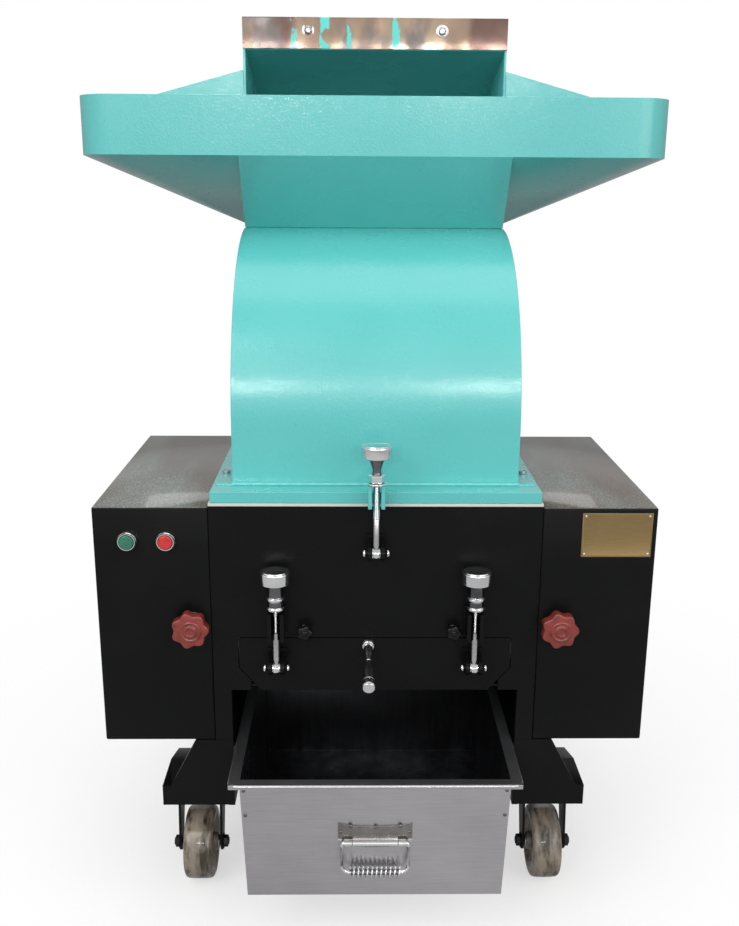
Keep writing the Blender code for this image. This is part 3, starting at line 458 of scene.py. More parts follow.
def refined(node, finishes, bevel=EDGE, other=None, takes_other=faces_up):
    """The node's own form with softened edges and smooth curves; some faces may take another finish."""
    shape = bmesh.new()
    shape.from_mesh(frame["nodes"][node].data)
    bmesh.ops.remove_doubles(shape, verts=shape.verts, dist=WELD)
    flat = math.radians(0.3)
    bmesh.ops.dissolve_limit(shape, angle_limit=flat, verts=shape.verts, edges=shape.edges)
    slots = [finishes[SUBPARTS[node]]]
    if other:
        slots.append(other)
        shape.normal_update()
    for face in shape.faces:
        face.material_index = 1 if other and takes_other(face) else 0
    stands_for(node, shape, slots, bevel)


def ring_of(shape, place, radius, along, steps):
    ring = []
    for i in range(steps):
        angle = 2 * math.pi * i / steps
        point = Vector((radius * math.cos(angle), radius * math.sin(angle), along))
        ring.append(shape.verts.new(place @ point))
    return ring


def bridge(shape, one, two):
    steps = max(len(one), len(two))
    for i in range(steps):
        j = (i + 1) % steps
        corners = [one[i % len(one)], one[j % len(one)], two[j % len(two)], two[i % len(two)]]
        shape.faces.new(list(dict.fromkeys(corners)))


def placed_along(at, axis):
    along = Vector(axis).normalized()
    return Matrix.Translation(at) @ along.to_track_quat("Z", "Y").to_matrix().to_4x4()


def add_turned(shape, profile, at, axis, steps, closed=False):
    """Adds a solid turned about an axis through at, from (radius, distance along it) pairs."""
    place = placed_along(at, axis)
    rings = []
    for radius, along in profile:
        if radius == 0:
            rings.append([shape.verts.new(place @ Vector((0, 0, along)))])
        else:
            rings.append(ring_of(shape, place, radius, along, steps))
    for one, two in zip(rings, rings[1:]):
        bridge(shape, one, two)
    if closed:
        bridge(shape, rings[-1], rings[0])


def rounded(profile, reach, steps=3):
    """Rounds the corners of a turned profile, each by at most reach, its first and last points kept."""
    made = [profile[0]]
    for before, here, after in zip(profile, profile[1:], profile[2:]):
        corner = Vector(here)
        one = Vector(before) - corner
        two = Vector(after) - corner
        cut_one = min(reach, one.length * 0.45)
        cut_two = min(reach, two.length * 0.45)
        start = corner + one.normalized() * cut_one
        end = corner + two.normalized() * cut_two
        for i in range(steps + 1):
            t = i / steps
            point = start * (1 - t) ** 2 + corner * 2 * t * (1 - t) + end * t ** 2
            made.append((max(point.x, 0), point.y))
    made.append(profile[-1])
    return made


def ring_outline(inner, outer, start, end):
    """Turned outline of a plain ring, or of a disc or rod where inner is 0."""
    return [(inner, start), (outer, start), (outer, end), (inner, end)]


def add_dome(shape, at, axis, radius, height, steps=16):
    """Low domed head, such as a rivet."""
    profile = [(0, 0), (radius, 0), (radius, height * 0.25)]
    for i in range(1, 4):
        angle = math.pi / 2 * i / 4
        profile.append((radius * math.cos(angle), height * (0.25 + 0.75 * math.sin(angle))))
    add_turned(shape, [*profile, (0, height)], at, axis, steps)


def add_hex(shape, at, axis, radius, height):
    """Hexagon nut with a washer face and chamfered corners."""
    add_turned(shape, ring_outline(0, radius * 1.25, 0, height * 0.15), at, axis, 28)
    foot = height * 0.16
    nut = [(0, foot), (radius, foot), (radius, height * 0.9), (radius * 0.86, height), (0, height)]
    add_turned(shape, nut, at, axis, 6)


def add_tube(shape, path, radius, sides=8, closed=False):
    """Round bead or wire along 3-D points."""
    rings = []
    count = len(path)
    for i, point in enumerate(path):
        before = path[(i - 1) % count] if closed else path[max(i - 1, 0)]
        after = path[(i + 1) % count] if closed else path[min(i + 1, count - 1)]
        here = radius(i) if callable(radius) else radius
        place = placed_along(point, Vector(after) - Vector(before))
        rings.append(ring_of(shape, place, here, 0, sides))
    pairs = list(zip(rings, rings[1:]))
    if closed:
        pairs.append((rings[-1], rings[0]))
    for one, two in pairs:
        bridge(shape, one, two)
    if not closed:
        shape.faces.new(rings[0])
        shape.faces.new(rings[-1])


def add_outline(shape, layers):
    """Solid through outlines of as many points each, with flat ends."""
    rings = [[shape.verts.new(point) for point in layer] for layer in layers]
    for one, two in zip(rings, rings[1:]):
        bridge(shape, one, two)
    shape.faces.new(rings[0])
    shape.faces.new(rings[-1])


def middle(node):
    low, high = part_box(node)
    return (low + high) / 2


def cad_skins(finishes, hammered, soot_and_shade):
    """Softened copies of the plate, sheet and cast nodes."""
    for node in ("guard_box_left", "guard_box_right"):
        refined(node, finishes, 0, hammered)
    for node in ("front_plate", "screen_door", "side_plate_left", "side_plate_right", "rear_plate"):
        refined(node, finishes)
    for node in ("base_frame_left", "base_frame_right", "chamber_flange", "upper_chamber"):
        refined(node, finishes)
    for node in ("hopper_tray", "hopper_hood", "cover_plate_left", "cover_plate_right"):
        refined(node, finishes, THIN_EDGE)
    # The drawer's inside faces take the darkened steel, partly soot and partly painted shade.
    refined("drawer_bin", finishes, THIN_EDGE, soot_and_shade, faces_middle)
    for name in ("top", *SIDES):
        refined("clevis_" + name, finishes)
    for word in SIDES:
        refined("clamp_fork_" + word, finishes)
        refined("star_knob_" + word, finishes, 0)
        for end in ("front", "rear"):
            refined(f"caster_{end}_{word}_fork", finishes)


def strip_plate(finish):
    """Steel strip screwed over the hood's front edge, a little wavy and folded back along its top."""
    low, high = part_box("hood_strip")
    shape = bmesh.new()
    layers = []
    for i in range(STRIP_STEPS + 1):
        x = low.x + (high.x - low.x) * i / STRIP_STEPS
        wave = 0.0004 * math.sin(i * 0.9) + 0.0003 * math.sin(i * 0.37 + 1)
        front = low.y - 0.0008 + wave
        foot = low.z - STRIP_LAP
        outline = [
            (front, foot),
            (front, high.z - 0.0016),
            (front + 0.0006, high.z - 0.0004),
            (front + 0.0018, high.z + 0.0004),
            (high.y + STRIP_FOLD, high.z + 0.0004),
            (high.y + STRIP_FOLD, high.z + 0.0001),
            (high.y, high.z + 0.0001),
            (high.y, foot),
        ]
        layers.append([(x, y, z) for y, z in outline])
    add_outline(shape, layers)
    stands_for("hood_strip", shape, [finish], name="strip_plate")


def strip_bolts(finish):
    """Two dished bolts through the steel strip."""
    low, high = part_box("hood_strip")
    shape = bmesh.new()
    z = low.z + STRIP_BOLT_RISE * (high.z - low.z)
    radius, thickness = STRIP_WASHER
    washer = rounded(ring_outline(0, radius, 0, thickness), 0.0004)
    top = (0.0066, 0.0046), (0.0050, 0.0056), (0.0036, 0.0040), (0, 0.0038)
    head = [(0, 0.0014), (0.0070, 0.0014), *top]
    for side in SIDES.values():
        at = (side * STRIP_BOLT_X, low.y, z)
        add_turned(shape, washer, at, FORWARD, 28)
        add_turned(shape, head, at, FORWARD, 28)
    shape_to_piece("strip_bolts", shape, finish, "machine")


def bare_plate(finish, rivet_finish):
    """Plain plate with a raised rim, held by a rivet at each corner."""
    box_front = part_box("guard_box_right")[0].y
    (x0, x1), (z0, z1) = GOLD_PLATE
    shape = bmesh.new()
    rim = ((0, 0), (0, 0.0010), (0.0014, 0.0014), (0.0026, 0.0010), (0.0030, 0.0008))
    layers = []
    for inset, depth in rim:
        left, right = x0 + inset, x1 - inset
        foot, top = z0 + inset, z1 - inset
        corners = ((left, foot), (right, foot), (right, top), (left, top))
        layers.append([(x, box_front - depth, z) for x, z in corners])
    add_outline(shape, layers)
    shape_to_piece("bare_plate", shape, finish, "machine")
    rivets = bmesh.new()
    for x in (x0 + PLATE_RIVET_INSET, x1 - PLATE_RIVET_INSET):
        for z in (z0 + PLATE_RIVET_INSET, z1 - PLATE_RIVET_INSET):
            add_dome(rivets, (x, box_front - 0.0007, z), FORWARD, *PLATE_RIVET, 12)
    shape_to_piece("plate_rivets", rivets, rivet_finish, "machine")


def add_lobed(shape, centre, layers):
    """Adds a small knob with round lobes, facing the front, from (distance out, size) layers."""
    steps = SMALL_KNOB_LOBES * 12
    rings = []
    for out, size in layers:
        ring = []
        for i in range(steps):
            angle = 2 * math.pi * i / steps
            wave = SMALL_KNOB_LOBE_DEPTH * (math.cos(SMALL_KNOB_LOBES * angle) - 1)
            reach = SMALL_KNOB_RADIUS * size * (1 + wave)
            ring.append(centre + Vector((reach * math.cos(angle), -out, reach * math.sin(angle))))
        rings.append(ring)
    add_outline(shape, rings)


def small_knobs(finish):
    """Two little lobed knobs on the front plate above the screen door."""
    shape = bmesh.new()
    collar = [(0, 0), (0.0085, 0), (0.0080, 0.003), (0.006, 0.004), (0.006, 0.012), (0, 0.012)]
    back = (0.0105, 0.80), (0.0115, 0.94), (0.0130, 1.0)
    layers = (*back, (0.0190, 1.0), (0.0205, 0.95), (0.0215, 0.82))
    for x in SMALL_KNOB_XS:
        centre = Vector((x, FRONT_Y, SMALL_KNOB_Z))
        add_turned(shape, collar, centre, FORWARD, 20)
        add_lobed(shape, centre, layers)
        add_dome(shape, centre + Vector((0, -0.0213, 0)), FORWARD, 0.0048, 0.0022)
    shape_to_piece("small_knobs", shape, finish, "machine")


def star_trim(finish, steel):
    """Raised ring and dished centre of each star knob, and the washer behind it."""
    rim = (0, 0), (0.0175, 0), (0.0170, 0.0022), (0.0148, 0.0034), (0.0128, 0.0022)
    dish = (0.0105, 0.0022), (0.0092, 0.0040), (0.0070, 0.0046), (0.0060, 0.0028), (0, 0.0024)
    ring = ring_outline(STAR_WASHER_BORE, STAR_WASHER_RADIUS, 0, STAR_WASHER_THICKNESS)
    for word in SIDES:
        knob_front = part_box("star_knob_" + word)[0].y
        centre = middle("star_knob_" + word)
        shape = bmesh.new()
        at = (centre.x, knob_front + 0.0006, centre.z)
        add_turned(shape, rounded([*rim, *dish], 0.0008), at, FORWARD, 40)
        shape_to_piece("star_boss_" + word, shape, finish, "star_" + word)
        washer = bmesh.new()
        add_turned(washer, ring, (centre.x, FRONT_Y, centre.z), FORWARD, 32, closed=True)
        shape_to_piece("star_washer_" + word, washer, steel, "machine", 0.0004)


def shade_spans(shape, at, axis, spans):
    """Gives the second finish to faces whose distance along an axis is within one of the spans."""
    along = Vector(axis).normalized()
    for face in shape.faces:
        distance = (face.calc_center_median() - Vector(at)).dot(along)
        face.material_index = 1 if any(low < distance < high for low, high in spans) else 0


def knob_profile(kind, height, radius):
    """A bolt knob's outline: its own stem, then the crowned cap, with the parts of the stem that are
    darkened as a painted dark reflection.
    """
    flange = (0.0152, 0), (0.0152, 0.035), (0.0075, 0.045), (0.0075, 0.250)
    flare = (0.0066, 0.300), (0.0066, 0.360), (0.0092, 0.500), (0.0132, 0.655)
    low_ring = (0.0125, 0), (0.0142, 0.025), (0.0142, 0.070), (0.0126, 0.095)
    high_ring = (0.0126, 0.235), (0.0142, 0.265), (0.0142, 0.310), (0.0120, 0.335)
    stems = {"top": (*flange, *flare), "side": (*low_ring, *high_ring, (0.0120, 0.655))}
    rim = (0.94, 0.662), (1.0, 0.675), (1.0, 0.925), (0.965, 0.950)
    crown = (0.90, 0.945), (0.86, 0.975), (0.45, 0.998)
    dark_reflection_spans = {"top": ((0.05, 0.64),), "side": ((0.10, 0.23), (0.34, 0.64))}
    profile = [(stem, height * share) for stem, share in stems[kind]]
    profile.extend((radius * share, height * up) for share, up in (*rim, *crown))
    spans = [(height * start, height * end) for start, end in dark_reflection_spans[kind]]
    return [*profile, (0, height)], spans


def bolt_knobs(chrome, dark_reflection):
    """Turned knobs with a crowned cap on a neck darkened as a painted dark reflection, with rings or a
    flare below it.
    """
    for name in ("top", *SIDES):
        low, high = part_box("bolt_knob_" + name)
        centre = middle("bolt_knob_" + name)
        height = high.z - low.z
        kind = "top" if name == "top" else "side"
        profile, spans = knob_profile(kind, height, (high.x - low.x) / 2)
        shape = bmesh.new()
        start = Vector((centre.x, centre.y, low.z))
        bore = [(ROD_RADIUS, height * 0.30), (ROD_RADIUS, 0)]
        add_turned(shape, [*bore, *rounded(profile, KNOB_ROUNDING)], start, UP, 56)
        # The stem's dark spans take the darkened chrome, a painted dark reflection.
        shade_spans(shape, start, UP, spans)
        stands_for("bolt_knob_" + name, shape, [chrome, dark_reflection])


def top_nut(chrome):
    """Loose nut under the top clamp's knob."""
    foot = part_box("bolt_knob_top")[0].z + TOP_NUT_RISE
    centre = middle("bolt_knob_top")
    nut = bmesh.new()
    side = (0.0126, 0), (0.0140, 0.0014), (0.0140, 0.0112), (0.0124, 0.0126)
    hexagon = [(0.0078, 0), *side, (0.0078, 0.0126)]
    add_turned(nut, hexagon, (centre.x, centre.y, foot), UP, 6, closed=True)
    shape_to_piece("top_nut", nut, chrome, "bolt_nut_top", 0.0004)


def swing_bolts(bright, chrome):
    """Eye bolts: a ring round the pin, a plain shank and a threaded end, thinner at the door's bolts."""
    eye = ring_outline(PIN_BORE, EYE_RADIUS, -EYE_HALF, EYE_HALF)
    for name in ("top", *SIDES):
        knob_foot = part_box("bolt_knob_" + name)[0].z
        clevis = middle("clevis_" + name)
        pin = (clevis.x, middle("bolt_" + name).y, clevis.z)
        shape = bmesh.new()
        add_turned(shape, eye, pin, ACROSS, 40, closed=True)
        shank_top = SHANK_TOPS["top" if name == "top" else "side"]
        thread = ROD_RADIUS if name == "top" else THIN_ROD
        shank_foot = PIN_BORE + 0.0012
        shank = [(0, shank_foot), (ROD_RADIUS, shank_foot), (ROD_RADIUS, shank_top - 0.001)]
        along = shank_top
        profile = [*shank, (thread - THREAD_DEPTH, along)]
        end = knob_foot + ROD_IN_KNOB - clevis.z
        while along + THREAD_PITCH < end:
            profile.append((thread, along + THREAD_PITCH * 0.42))
            profile.append((thread, along + THREAD_PITCH * 0.58))
            profile.append((thread - THREAD_DEPTH, along + THREAD_PITCH))
            along += THREAD_PITCH
        profile.append((0, end))
        add_turned(shape, profile, pin, UP, 32)
        shade_spans(shape, pin, UP, ((-EYE_RADIUS, EYE_RADIUS), (shank_top, end)))
        stands_for("bolt_" + name, shape, [bright, chrome])


def clamp_trim(chrome):
    """Domed pin heads at each clevis, and the boss of its eye."""
    for name, body in (("top", "machine"), ("left", "door"), ("right", "door")):
        clevis = middle("clevis_" + name)
        bolt = middle("bolt_" + name)
        shape = bmesh.new()
        for side in SIDES.values():
            at = (clevis.x + side * PIN_HEAD_REACH, bolt.y, clevis.z)
            add_dome(shape, at, (side, 0, 0), *PIN_HEAD)
        shape_to_piece("pin_heads_" + name, shape, chrome, body)
        boss = bmesh.new()
        add_dome(boss, (clevis.x, bolt.y - EYE_BOSS_REACH, clevis.z), FORWARD, *EYE_BOSS)
        shape_to_piece("eye_boss_" + name, boss, chrome, "bolt_arm_" + name)


def door_pull(chrome, grip):
    """Pull with a flared foot, a ringed neck, a grip and a bright end, drooping to its tip; the neck and
    grip are darkened as a painted dark reflection.
    """
    x, z = PULL_AT
    at = Vector((x, FRONT_Y, z))
    shape = bmesh.new()
    foot = [(0, 0.0003), (0.0110, 0.0003), (0.0110, 0.0040), (0.0090, 0.0085), (0, 0.0088)]
    add_turned(shape, rounded(foot, 0.0008), at, FORWARD, 40)
    neck = (0, 0.04), (0.0080, 0.04), (0.0070, 0.24), (0.0050, 0.355)
    rings = (0.0060, 0.375), (0.0060, 0.400), (0.0052, 0.420)
    grip_bar = (0.0088, 0.570), (0.0097, 0.660), (0.0099, 0.840), (0.0093, 0.850), (0.0093, 0.870)
    tip = (0.0106, 0.885), (0.0106, 0.965), (0.0090, 1.0), (0, 1.0)
    droop = Vector((0, -math.cos(PULL_DROOP), -math.sin(PULL_DROOP)))
    profile = [(radius, PULL_REACH * share) for radius, share in (*neck, *rings, *grip_bar, *tip)]
    add_turned(shape, rounded(profile, 0.0008), at, droop, 48)
    # The neck and the grip take the darkened chrome, a painted dark reflection.
    spans = ((PULL_REACH * 0.10, PULL_REACH * 0.36), (PULL_REACH * 0.42, PULL_REACH * 0.86))
    shade_spans(shape, at, droop, spans)
    stands_for("door_pull", shape, [chrome, grip])


def round_front(node):
    """The middle of a round node's back, its radius and its depth."""
    low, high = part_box(node)
    centre = middle(node)
    return (centre.x, high.y, centre.z), (high.x - low.x) / 2, high.y - low.y


def buttons(chrome, finishes):
    """Chromed bezels with a stepped collar, and slightly dished buttons."""
    for word in ("start", "stop"):
        at, radius, depth = round_front(word + "_bezel")
        inner = radius * 0.77
        ring = [
            (inner, 0.001),
            (inner, depth - 0.0006),
            (inner + 0.0007, depth),
            (radius * 0.90, depth),
            (radius * 0.93, depth - 0.0022),
            (radius, depth - 0.0034),
            (radius, 0.0030),
            (radius, 0),
            (inner, 0),
        ]
        shape = bmesh.new()
        add_turned(shape, ring, at, FORWARD, 56, closed=True)
        stands_for(word + "_bezel", shape, [chrome])
        node = word + "_button"
        at, radius, depth = round_front(node)
        cap = [
            (0, 0),
            (radius, 0),
            (radius, depth - 0.0008),
            (radius - 0.0010, depth),
            (radius * 0.6, depth - 0.0003),
            (0, depth - 0.0006),
        ]
        shape = bmesh.new()
        add_turned(shape, rounded(cap, 0.0006), at, FORWARD, 48)
        stands_for(node, shape, [finishes[SUBPARTS[node]]])


def drawer_rivets(finish):
    """Two rivets at each side of the drawer's face."""
    low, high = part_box("drawer_bin")
    rivets = bmesh.new()
    bottom_half = high.x - DRAWER_LIP - DRAWER_TAPER
    for rise in DRAWER_RIVET_RISES:
        z = low.z + rise * (high.z - low.z)
        half = bottom_half + DRAWER_TAPER * rise - DRAWER_RIVET_INSET
        for side in SIDES.values():
            add_dome(rivets, (side * half, low.y + DRAWER_LIP, z), FORWARD, *DRAWER_RIVET)
    shape_to_piece("drawer_rivets", rivets, finish, "drawer")


def drawer_hem(finish):
    """Rolled hem round the drawer's rim."""
    low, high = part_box("drawer_bin")
    hem = bmesh.new()
    x = high.x - HEM_RADIUS * 0.4
    y0 = low.y + HEM_RADIUS * 0.4
    y1 = high.y - HEM_RADIUS * 0.4
    corners = ((x, y1, -1, -1, 0), (-x, y1, 1, -1, 90), (-x, y0, 1, 1, 180), (x, y0, -1, 1, 270))
    path = []
    for corner_x, corner_y, step_x, step_y, first in corners:
        for i in range(7):
            angle = math.radians(first + 15 * i)
            along = corner_x + HEM_CORNER * (step_x + math.cos(angle))
            across = corner_y + HEM_CORNER * (step_y + math.sin(angle))
            path.append((along, across, high.z - HEM_RADIUS * 0.9))
    add_tube(hem, path, HEM_RADIUS, 12, closed=True)
    shape_to_piece("drawer_hem", hem, finish, "drawer")


def drawer_foot(finish):
    """Small pad under the drawer, with its lower edges chamfered."""
    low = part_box("drawer_bin")[0]
    front = low.y + DRAWER_LIP + FOOT_SETBACK
    foot = bmesh.new()
    layers = []
    for drop, inset in ((0, 0), (0.006, 0), (0.0075, 0.0015)):
        x0 = FOOT_X - FOOT_HALF + inset
        x1 = FOOT_X + FOOT_HALF - inset
        y0 = front + inset
        y1 = front + FOOT_DEPTH - inset
        layers.append([(x, y, low.z - drop) for x, y in ((x0, y0), (x1, y0), (x1, y1), (x0, y1))])
    add_outline(foot, layers)
    shape_to_piece("drawer_foot", foot, finish, "drawer")


def bail_pin():
    """The bail's axis in its plate: its place across and its height."""
    return middle("drawer_bail").y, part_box("drawer_bail")[1].z - BAIL_WIRE


def plate_face():
    """The drawer's face behind the handle's plate."""
    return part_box("drawer_bin")[0].y + DRAWER_LIP - 0.0003


def knuckle_end():
    """Half the length of the plate's middle knuckle."""
    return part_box("handle_plate")[1].x - KNUCKLE_INSET - KNUCKLE_LENGTH - 0.001


def add_dished_sheet(shape, half, top_z, bottom_z, face):
    """Adds a sheet that swells forward in its middle, with a bowed upper edge and a flat back."""
    rows = []
    for rise, swell in ((0.0, 0.0013), (0.12, 0.0016), (0.5, 0.0042), (0.85, 0.0016), (1.0, 0.0013)):
        row = []
        for i in range(PLATE_STEPS + 1):
            share = 2 * i / PLATE_STEPS - 1
            top = top_z - 0.0030 - 0.0042 * (1 - share * share) + 0.0030 * abs(share) ** 6
            z = bottom_z + (top - bottom_z) * rise
            edge = 1 - abs(share) ** 8
            row.append(Vector((share * half, face - 0.0006 - swell * edge, z)))
        rows.append(row)
    front = [[shape.verts.new(point) for point in row] for row in rows]
    back = [[shape.verts.new((point.x, face, point.z)) for point in row] for row in rows]
    for grid, flip in ((front, False), (back, True)):
        for one, two in zip(grid, grid[1:]):
            for i in range(PLATE_STEPS):
                corners = [one[i], one[i + 1], two[i + 1], two[i]]
                shape.faces.new(corners[::-1] if flip else corners)
    for row in (0, -1):
        for i in range(PLATE_STEPS):
            shape.faces.new((front[row][i], front[row][i + 1], back[row][i + 1], back[row][i]))
    for column in (0, -1):
        for one in range(len(rows) - 1):
            near, far = front[one][column], front[one + 1][column]
            shape.faces.new((near, far, back[one + 1][column], back[one][column]))


def handle_plate(sheet, chrome):
    """Dished plate with a rolled knuckle that holds the bail, and a tab below it."""
    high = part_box("handle_plate")[1]
    face = plate_face()
    pin_y, pin_z = bail_pin()
    shape = bmesh.new()
    add_dished_sheet(shape, high.x, high.z, pin_z - KNUCKLE_RADIUS * 0.4, face)
    reach = high.x - KNUCKLE_INSET
    bore = BAIL_WIRE + 0.0006
    knuckle = ring_outline(bore, KNUCKLE_RADIUS, 0, KNUCKLE_LENGTH)
    for start in (-reach, reach - KNUCKLE_LENGTH):
        add_turned(shape, knuckle, (start, pin_y, pin_z), ACROSS, 24, closed=True)
    inner = knuckle_end()
    roll = ring_outline(0, KNUCKLE_RADIUS, -inner, inner)
    add_turned(shape, roll, (0, pin_y, pin_z), ACROSS, 24)
    tab = []
    for depth in (face - 0.0004, face - 0.0022):
        row = [(-LOWER_TAB_HALF, depth, pin_z), (LOWER_TAB_HALF, depth, pin_z)]
        for i in range(13):
            share = 1 - 2 * i / 12
            z = pin_z - LOWER_TAB_DROP - 0.0022 * (1 - share * share)
            row.append(((LOWER_TAB_HALF - 0.001) * share, depth, z))
        tab.append(row)
    add_outline(shape, tab)
    web = []
    corners = ((-inner, face - 0.001), (inner, face - 0.001), (inner, pin_y), (-inner, pin_y))
    for rise in (0.2, 0.9):
        web.append([(x, y, pin_z + KNUCKLE_RADIUS * rise) for x, y in corners])
    add_outline(shape, web)
    shade_spans(shape, (0, 0, pin_z), UP, ((-KNUCKLE_RADIUS, KNUCKLE_RADIUS),))
    stands_for("handle_plate", shape, [sheet, chrome])


def handle_rivets(finish):
    """Rivets along the plate's upper edge, at its ends and in the tab below."""
    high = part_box("handle_plate")[1]
    front = plate_face() - HANDLE_RIVET_OUT
    tab_z = bail_pin()[1] - 0.0082
    rivets = bmesh.new()
    places = ((-0.66, 0.0055), (0.02, 0.0080), (0.68, 0.0055), (-0.93, 0.016), (0.93, 0.016))
    for share, drop in places:
        add_dome(rivets, (share * high.x, front, high.z - drop), FORWARD, 0.0030, 0.0018)
    for x in (-0.027, 0.002, 0.026):
        add_dome(rivets, (x, front, tab_z), FORWARD, 0.0022, 0.0012)
    shape_to_piece("handle_rivets", rivets, finish, "drawer")


def drawer_bail(chrome):
    """Bent wire whose ends turn in the plate's knuckle."""
    low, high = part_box("drawer_bail")
    pin_y, pin_z = bail_pin()
    bail = bmesh.new()
    width = high.x - BAIL_WIRE
    drop = high.z - low.z - 2 * BAIL_WIRE
    right = [(knuckle_end() + 0.002, 0)]
    bends = ((0, -1, 90, BAIL_TOP_BEND), (-drop, 1, 0, BAIL_FOOT_BEND))
    for corner_z, step_z, first, radius in bends:
        for i in range(9):
            angle = math.radians(first - 90 * i / 8)
            u = width + radius * (math.cos(angle) - 1)
            v = corner_z + radius * (step_z + math.sin(angle))
            right.append((u, v))
    left = [(-u, v) for u, v in reversed(right)]
    add_tube(bail, [(u, pin_y, pin_z + v) for u, v in [*right, *left]], BAIL_WIRE, 16)
    stands_for("drawer_bail", bail, [chrome])


def bail_grip(chrome, dark):
    """Coil of wire on a sleeve round the bail's lower run."""
    low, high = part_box("bail_grip")
    pin_y = bail_pin()[0]
    centre_z = (high.z + low.z) / 2
    spring = bmesh.new()
    path = []
    count = SPRING_TURNS * 20
    for i in range(count + 1):
        angle = 2 * math.pi * i / 20
        x = low.x + 0.001 + (high.x - low.x - 0.002) * i / count
        y = pin_y + SPRING_RADIUS * math.sin(angle)
        path.append((x, y, centre_z + SPRING_RADIUS * math.cos(angle)))
    add_tube(spring, path, SPRING_WIRE, 8)
    stands_for("bail_grip", spring, [chrome], name="bail_spring")
    core = bmesh.new()
    reach = high.x - 0.002
    bore = BAIL_WIRE + 0.0002
    sleeve = ring_outline(bore, BAIL_CORE, -reach, reach)
    add_turned(core, sleeve, (0, pin_y, centre_z), ACROSS, 20, closed=True)
    shape_to_piece("bail_core", core, dark, "drawer_handle")


def wheel_profile(tread, hub):
    """A wheel's whole outline: hub, dished side and crowned tread, the same to both sides."""
    half = hub - HUB_STEP
    side = [
        (AXLE_BORE, hub),
        (0.0130, hub),
        (0.0150, hub - 0.0010),
        (0.0165, half - 0.0040),
        (0.0200, half - 0.0062),
        (tread - 0.0230, half - 0.0062),
        (tread - 0.0185, half - 0.0030),
        (tread - 0.0165, half - 0.0004),
        (tread - 0.0070, half),
        (tread - 0.0026, half - 0.0022),
        (tread - 0.0008, half - 0.0060),
        (tread - 0.0001, half * 0.45),
        (tread, 0.0015),
    ]
    outline = [*[(radius, -along) for radius, along in side], *reversed(side)]
    return rounded([*outline, outline[0]], 0.0010, 2)[:-1]


def wheel_fittings(name, centre, hub, steel, black):
    """Nuts on a wheel's axle, which stay with its fork, and the steel rings of its hub."""
    nuts = bmesh.new()
    rings = bmesh.new()
    ring = [(AXLE_BORE, 0), (0.0122, 0), (0.0116, 0.0014), (AXLE_BORE, 0.0018)]
    for direction in SIDES.values():
        nut_at = (centre.x + direction * AXLE_NUT_REACH, centre.y, centre.z)
        add_hex(nuts, nut_at, (direction, 0, 0), *AXLE_NUT)
        ring_at = (centre.x + direction * (hub + 0.0001), centre.y, centre.z)
        add_turned(rings, ring, ring_at, (direction, 0, 0), 28, closed=True)
    shape_to_piece("axle_nuts_" + name, nuts, black, "swivel_" + name, 0.0003)
    shape_to_piece("hub_rings_" + name, rings, steel, "wheel_" + name)


def wheels(nylon, steel, black):
    """Moulded wheels with their fittings, and the bolts under the caster plates."""
    bolts = bmesh.new()
    for end in ("front", "rear"):
        for word in SIDES:
            name = f"{end}_{word}"
            node = f"caster_{name}_wheel"
            low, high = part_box(node)
            centre = middle(node)
            hub = (high.x - low.x) / 2
            shape = bmesh.new()
            profile = wheel_profile((high.z - low.z) / 2, hub)
            add_turned(shape, profile, centre, ACROSS, WHEEL_STEPS, closed=True)
            stands_for(node, shape, [nylon], name=f"wheel_{name}_fine")
            wheel_fittings(name, centre, hub, steel, black)
            crown_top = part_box(f"caster_{name}_fork")[1].z
            for dx in CASTER_BOLT_XS:
                for dy in CASTER_BOLT_YS:
                    at = (centre.x + dx, centre.y + SWIVEL_OFFSET + dy, crown_top + 0.0004)
                    add_hex(bolts, at, (0, 0, -1), *CASTER_BOLT)
    shape_to_piece("caster_bolts", bolts, steel, "machine")


def bead(radius, fast, slow):
    """Radius of a weld bead along its steps, swelling and narrowing a little."""
    return lambda i: radius * (0.85 + 0.25 * math.sin(i * fast) * math.sin(i * slow))


def weld_beads(finish):
    """Uneven beads where the arched chamber meets its flange, and lumps at the front corners."""
    low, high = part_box("upper_chamber")
    z = low.z + 0.0012
    front = low.y - 0.0010
    width = high.x - low.x
    depth = high.y - low.y
    shape = bmesh.new()
    path = [(low.x + width * i / WELD_STEPS, front, z) for i in range(WELD_STEPS + 1)]
    add_tube(shape, path, bead(0.0044, 1.7, 0.61), 8)
    for side in SIDES.values():
        x = side * (high.x + 0.0010)
        path = [(x, front + depth * i / WELD_STEPS, z) for i in range(WELD_STEPS)]
        add_tube(shape, path, bead(0.0030, 1.9, 0.53), 8)
        for i in range(WELD_LUMPS):
            at = Vector((side * (high.x + 0.002 + 0.0035 * i), front - 0.002 + 0.0006 * i, z - 0.0014))
            add_dome(shape, at, UP, 0.0034 + 0.0008 * math.sin(i * 2.1), 0.0030)
    shape_to_piece("weld_beads", shape, finish, "machine")


def flange_bolts(steel):
    """Socket screws through the chamber's flange."""
    low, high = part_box("upper_chamber")
    margin = (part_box("chamber_flange")[1].x - high.x) / 2
    shape = bmesh.new()
    socket = (0.0034, 0.0050), (0.0034, 0.0022), (0, 0.0022)
    head = rounded([(0, 0), (0.0065, 0), (0.0065, 0.0050), *socket], 0.0006)
    for side in SIDES.values():
        x = side * (high.x + margin + FLANGE_SCREW_SHIFT)
        for share in FLANGE_SCREW_PLACES:
            y = low.y + (high.y - low.y) * share
            add_turned(shape, head, (x, y, low.z - 0.0003), UP, 28)
    shape_to_piece("flange_bolts", shape, steel, "machine")


def dress_cad(finishes):
    """Gives every CAD node the finish of its slot."""
    for node, slot_name in SUBPARTS.items():
        for slot in frame["nodes"][node].material_slots:
            slot.material = finishes[slot_name]


